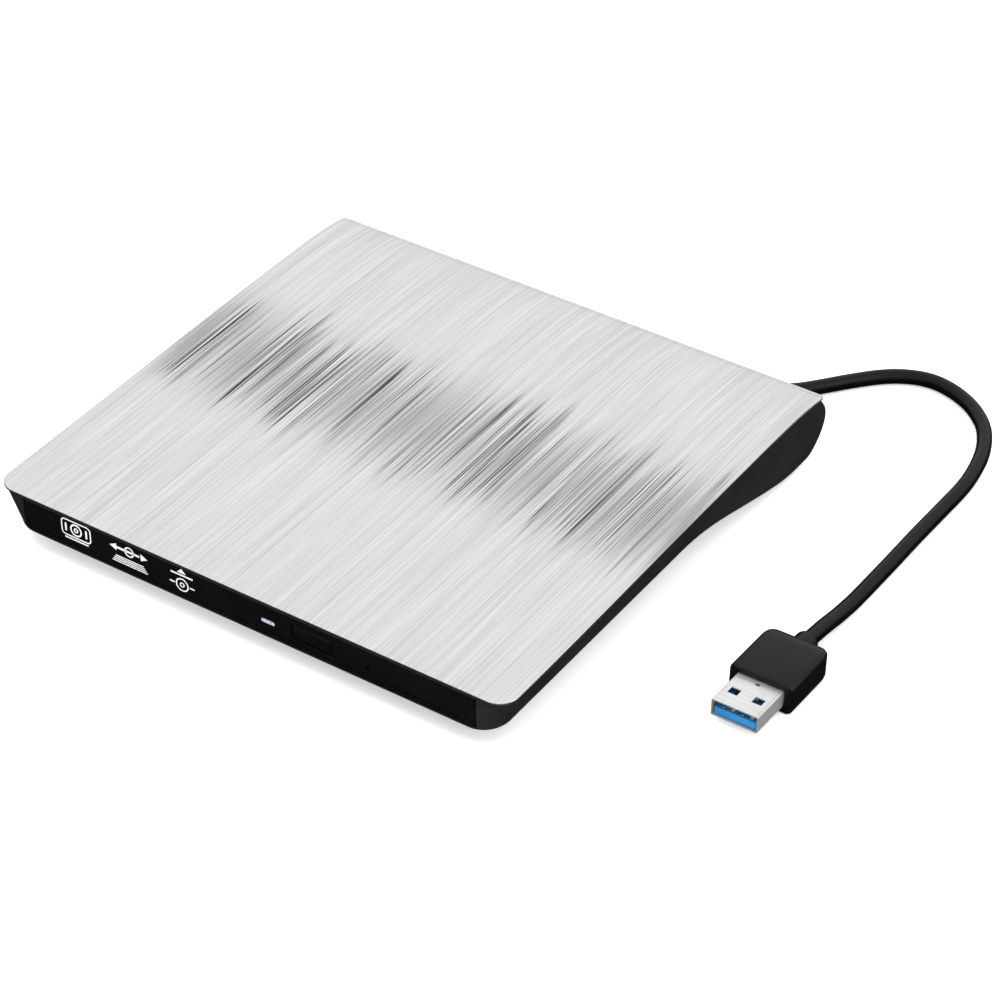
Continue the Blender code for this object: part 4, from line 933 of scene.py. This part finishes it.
def make_icons():
    """Three plain pictograms: a disc in a frame, two arrows over bars, a triangle over a disc."""
    frame_line = rounded(-52.6, -44.0, 4.5, 9.0, 1.0, 4)
    first = strip(frame_line + frame_line[:1], 0.34)
    first += ring(-48.3, 6.75, 1.55, 0.42) + ring(-48.3, 6.75, 0.5, 0.36, 24)
    first += [[(-51.6, 5.6), (-51.1, 5.6), (-51.1, 7.9), (-51.6, 7.9)],
              [(-45.5, 5.6), (-45.0, 5.6), (-45.0, 7.9), (-45.5, 7.9)],
              [(-51.8, 3.55), (-44.8, 3.55), (-44.8, 3.95), (-51.8, 3.95)]]
    printed("icon_disc_frame", first)
    second = []
    for i in range(4):
        z = 3.1 + i * 0.55
        left, right = -37.6 + i * 0.35, -27.2 - i * 0.35
        second.append([(left, z), (right, z), (right, z + 0.3), (left, z + 0.3)])
    second += strip([(-36.4, 7.35), (-29.4, 7.35)], 0.62)
    second += [[(-36.2, 8.35), (-36.2, 6.35), (-38.2, 7.35)], [(-29.0, 6.35), (-29.0, 8.35), (-27.0, 7.35)]]
    second += ring(-32.4, 7.35, 1.25, 0.4, 36)
    printed("icon_transfer", second)
    third = ring(-17.0, 4.7, 1.7, 0.36, 40) + ring(-17.0, 4.7, 0.55, 0.3, 24)
    third += strip([(-20.6, 4.7), (-19.2, 4.7)], 0.4) + strip([(-14.8, 4.7), (-13.4, 4.7)], 0.4)
    third += [[(-20.2, 7.3), (-13.8, 7.3), (-13.8, 7.75), (-20.2, 7.75)],
              [(-18.3, 8.1), (-15.7, 8.1), (-17.0, 9.35)]]
    printed("icon_disc_tray", third)


def make_plug():
    w, length, h = PLUG_BODY
    cx, cy, cz = PLUG_X, PLUG_FRONT_Y, PLUG_LOW + h / 2
    loops = []
    front = [(0.0, 0.75), (0.08, 0.45), (0.3, 0.15), (0.7, 0.0)]
    back = [(4.4, 0.0), (3.2, 0.06), (2.2, 0.28), (1.3, 0.7), (0.6, 1.3), (0.2, 1.8), (0.0, 2.3)]
    for y, inset in front + [(length - y, inset) for y, inset in back]:
        outline = rounded(cx - w / 2 + inset, cx + w / 2 - inset, cz - h / 2 + inset * 0.7,
                          cz + h / 2 - inset * 0.7, max(0.9, 1.5 - inset * 0.2), 8)
        loops.append([(x, cy + y, z) for x, z in outline])
    body = made("plug_overmould_grip", skin(loops), TABLE_SPACE, "root", "cable_jacket", ("plug_overmould",),
                finish=MATS["overmould"], angle=40)
    end = COLLAR_L + 0.5
    collar = turned([(0, 0), (2.9, 0), (2.9, end - 1.4), (2.84, end - 0.8), (2.66, end - 0.35),
                     (2.35, end - 0.06), (2.1, end), (0, end)], (cx, cy + length - 0.5, cz), 48, "Y")
    carve(body, collar, TABLE_SPACE, "UNION")
    sw, sl, sh = USB_SHELL
    carve(body, box(cx - sw / 2 - 0.35, cx + sw / 2 + 0.35, cy - 1, cy + 5.0,
                    cz - sh / 2 - 0.35, cz + sh / 2 + 0.35), TABLE_SPACE)

    def tube(half_w, half_h, y0, y1, r):
        outline = rounded(cx - half_w, cx + half_w, cz - half_h, cz + half_h, r, 6)
        return skin([[(x, y, z) for x, z in outline] for y in (y0, y1)])

    shell = made("plug_shell_formed", tube(sw / 2, sh / 2, cy - sl, cy + 4.4, 0.42), TABLE_SPACE,
                 "root", "bright_steel", ("plug_shell",), MATS["plug_steel"], angle=40)
    carve(shell, tube(sw / 2 - 0.32, sh / 2 - 0.32, cy - sl - 1, cy + 3.9, 0.2), TABLE_SPACE)
    cuts = bmesh.new()
    for x in (-3.1, 3.1):
        join(cuts, prism(rounded(cx + x - 1.25, cx + x + 1.25, cy - 7.2, cy - 5.0, 0.12, 3), -5, 20))
    carve(shell, cuts, TABLE_SPACE)
    cuts = bmesh.new()
    join(cuts, prism(rounded(cx - 0.55, cx + 0.55, cy - 1.5, cy - 0.75, 0.1, 3), cz + 1, 20))
    join(cuts, box(cx + sw / 2 - 0.62, cx + sw / 2 - 0.5, cy - sl - 1, cy + 0.2, cz + sh / 2 - 0.14, 20))
    carve(shell, cuts, TABLE_SPACE)

    z0, z1 = cz - 0.82 - 0.95, cz - 0.82 + 0.95
    block = box(cx - sw / 2 + 0.7, cx + sw / 2 - 0.7, cy - sl + 0.4, cy + 3.4, z0, z1)
    tongue = made("plug_tongue_block", block, TABLE_SPACE, "root", "usb_blue", ("plug_tongue",), bevel=0.1)
    contacts = [cx - 3.6 + i * 2.4 for i in range(4)]
    slots = bmesh.new()
    for x in contacts:
        join(slots, box(x - 0.55, x + 0.55, cy - sl + 1.0, cy + 2.0, z1 - 0.25, z1 + 1))
    carve(tongue, slots, TABLE_SPACE)
    pins = bmesh.new()
    section = ((-0.45, 0), (0.45, 0), (0.45, 0.16), (-0.45, 0.16))
    for x in contacts:
        join(pins, skin([[(x + px, cy + y, z1 - 0.25 + pz) for px, pz in section]
                         for y in (-sl + 1.3, 1.9)]))
    made("plug_contacts", pins, TABLE_SPACE, "root", "usb_blue", finish=MATS["contact_plate"],
         bevel=0.05, segments=1)


def make_cable():
    line = smooth_line(CABLE_ROUTE, 8)
    curve = bpy.data.curves.new("usb_cable_jacket", "CURVE")
    curve.dimensions = "3D"
    spline = curve.splines.new("POLY")
    spline.points.add(len(line) - 1)
    for point, p in zip(spline.points, line):
        point.co = (*(p * MM), 1.0)
    spline.use_smooth = True
    curve.bevel_depth = CABLE_R * MM
    curve.bevel_resolution = 7
    curve.use_fill_caps = True
    curve.materials.append(MATS["cable_jacket"])
    cable = bpy.data.objects.new("usb_cable_jacket", curve)
    bpy.context.scene.collection.objects.link(cable)
    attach(cable, "root")
    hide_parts("usb_cable")


# ---------------------------------------------------------------- the stage

def make_stage():
    """The photograph's camera, a pale floor, a grey-to-white sky and two soft lights."""
    view = bpy.data.cameras.new("photo_view")
    view.lens = VIEW_LENS
    view.sensor_width = VIEW_SENSOR
    view.clip_start = 0.01
    camera = bpy.data.objects.new("photo_view", view)
    bpy.context.scene.collection.objects.link(camera)
    right, up = Vector(VIEW_RIGHT), Vector(VIEW_UP)
    turn = Matrix((right, up, right.cross(up).normalized())).transposed().to_4x4()
    camera.matrix_world = Matrix.Translation(VIEW_PLACE) @ turn
    bpy.context.scene.camera = camera

    bm = bmesh.new()
    bmesh.ops.create_grid(bm, x_segments=2, y_segments=2, size=FLOOR_HALF)
    mesh = bpy.data.meshes.new("floor")
    bm.to_mesh(mesh)
    bm.free()
    floor = bpy.data.objects.new("floor", mesh)
    bpy.context.scene.collection.objects.link(floor)
    p = Paint("floor_paper", Specular_IOR_Level=0.1)
    p.colour(p.colours(p.noise((40, 40, 40), 2.0), (0.90, 0.90, 0.90), (0.92, 0.92, 0.92)))
    p.rough(0.9)
    p.shader.inputs["Emission Color"].default_value = (1.0, 1.0, 1.0, 1.0)
    p.shader.inputs["Emission Strength"].default_value = FLOOR_GLOW
    mesh.materials.append(p.material)
    floor.visible_glossy = False

    world = bpy.data.worlds.new("studio")
    bpy.context.scene.world = world
    world.use_nodes = True
    nodes, links = world.node_tree.nodes, world.node_tree.links
    place = nodes.new("ShaderNodeTexCoord")
    split = nodes.new("ShaderNodeSeparateXYZ")
    ramp = nodes.new("ShaderNodeValToRGB")
    shift = nodes.new("ShaderNodeMath")
    shift.operation = "MULTIPLY_ADD"
    shift.inputs[1].default_value = 0.5
    shift.inputs[2].default_value = 0.5
    links.new(place.outputs["Generated"], split.inputs[0])
    links.new(split.outputs["Z"], shift.inputs[0])
    links.new(shift.outputs[0], ramp.inputs[0])
    elements = ramp.color_ramp.elements
    while len(elements) < len(SKY):
        elements.new(0.5)
    for element, (at, level) in zip(elements, SKY):
        element.position = at
        element.color = (level, level, level, 1.0)
    links.new(ramp.outputs[0], nodes["Background"].inputs["Color"])
    nodes["Background"].inputs["Strength"].default_value = 1.0

    for name, size, power, at, glossy in LAMPS:
        lamp = bpy.data.lights.new(name, "AREA")
        lamp.size = size
        lamp.energy = power
        obj = bpy.data.objects.new(name, lamp)
        bpy.context.scene.collection.objects.link(obj)
        obj.location = at
        obj.rotation_euler = (-Vector(at)).to_track_quat("-Z", "Y").to_euler()
        obj.visible_glossy = glossy
    bpy.context.scene.view_settings.view_transform = "Standard"


make_stage()
make_top_plate()
make_shell()
make_feet()
make_screws()
make_relief()
make_bezel()
make_icons()
make_tray()
make_hub()
make_pickup()
make_insides()
make_plug()
make_cable()
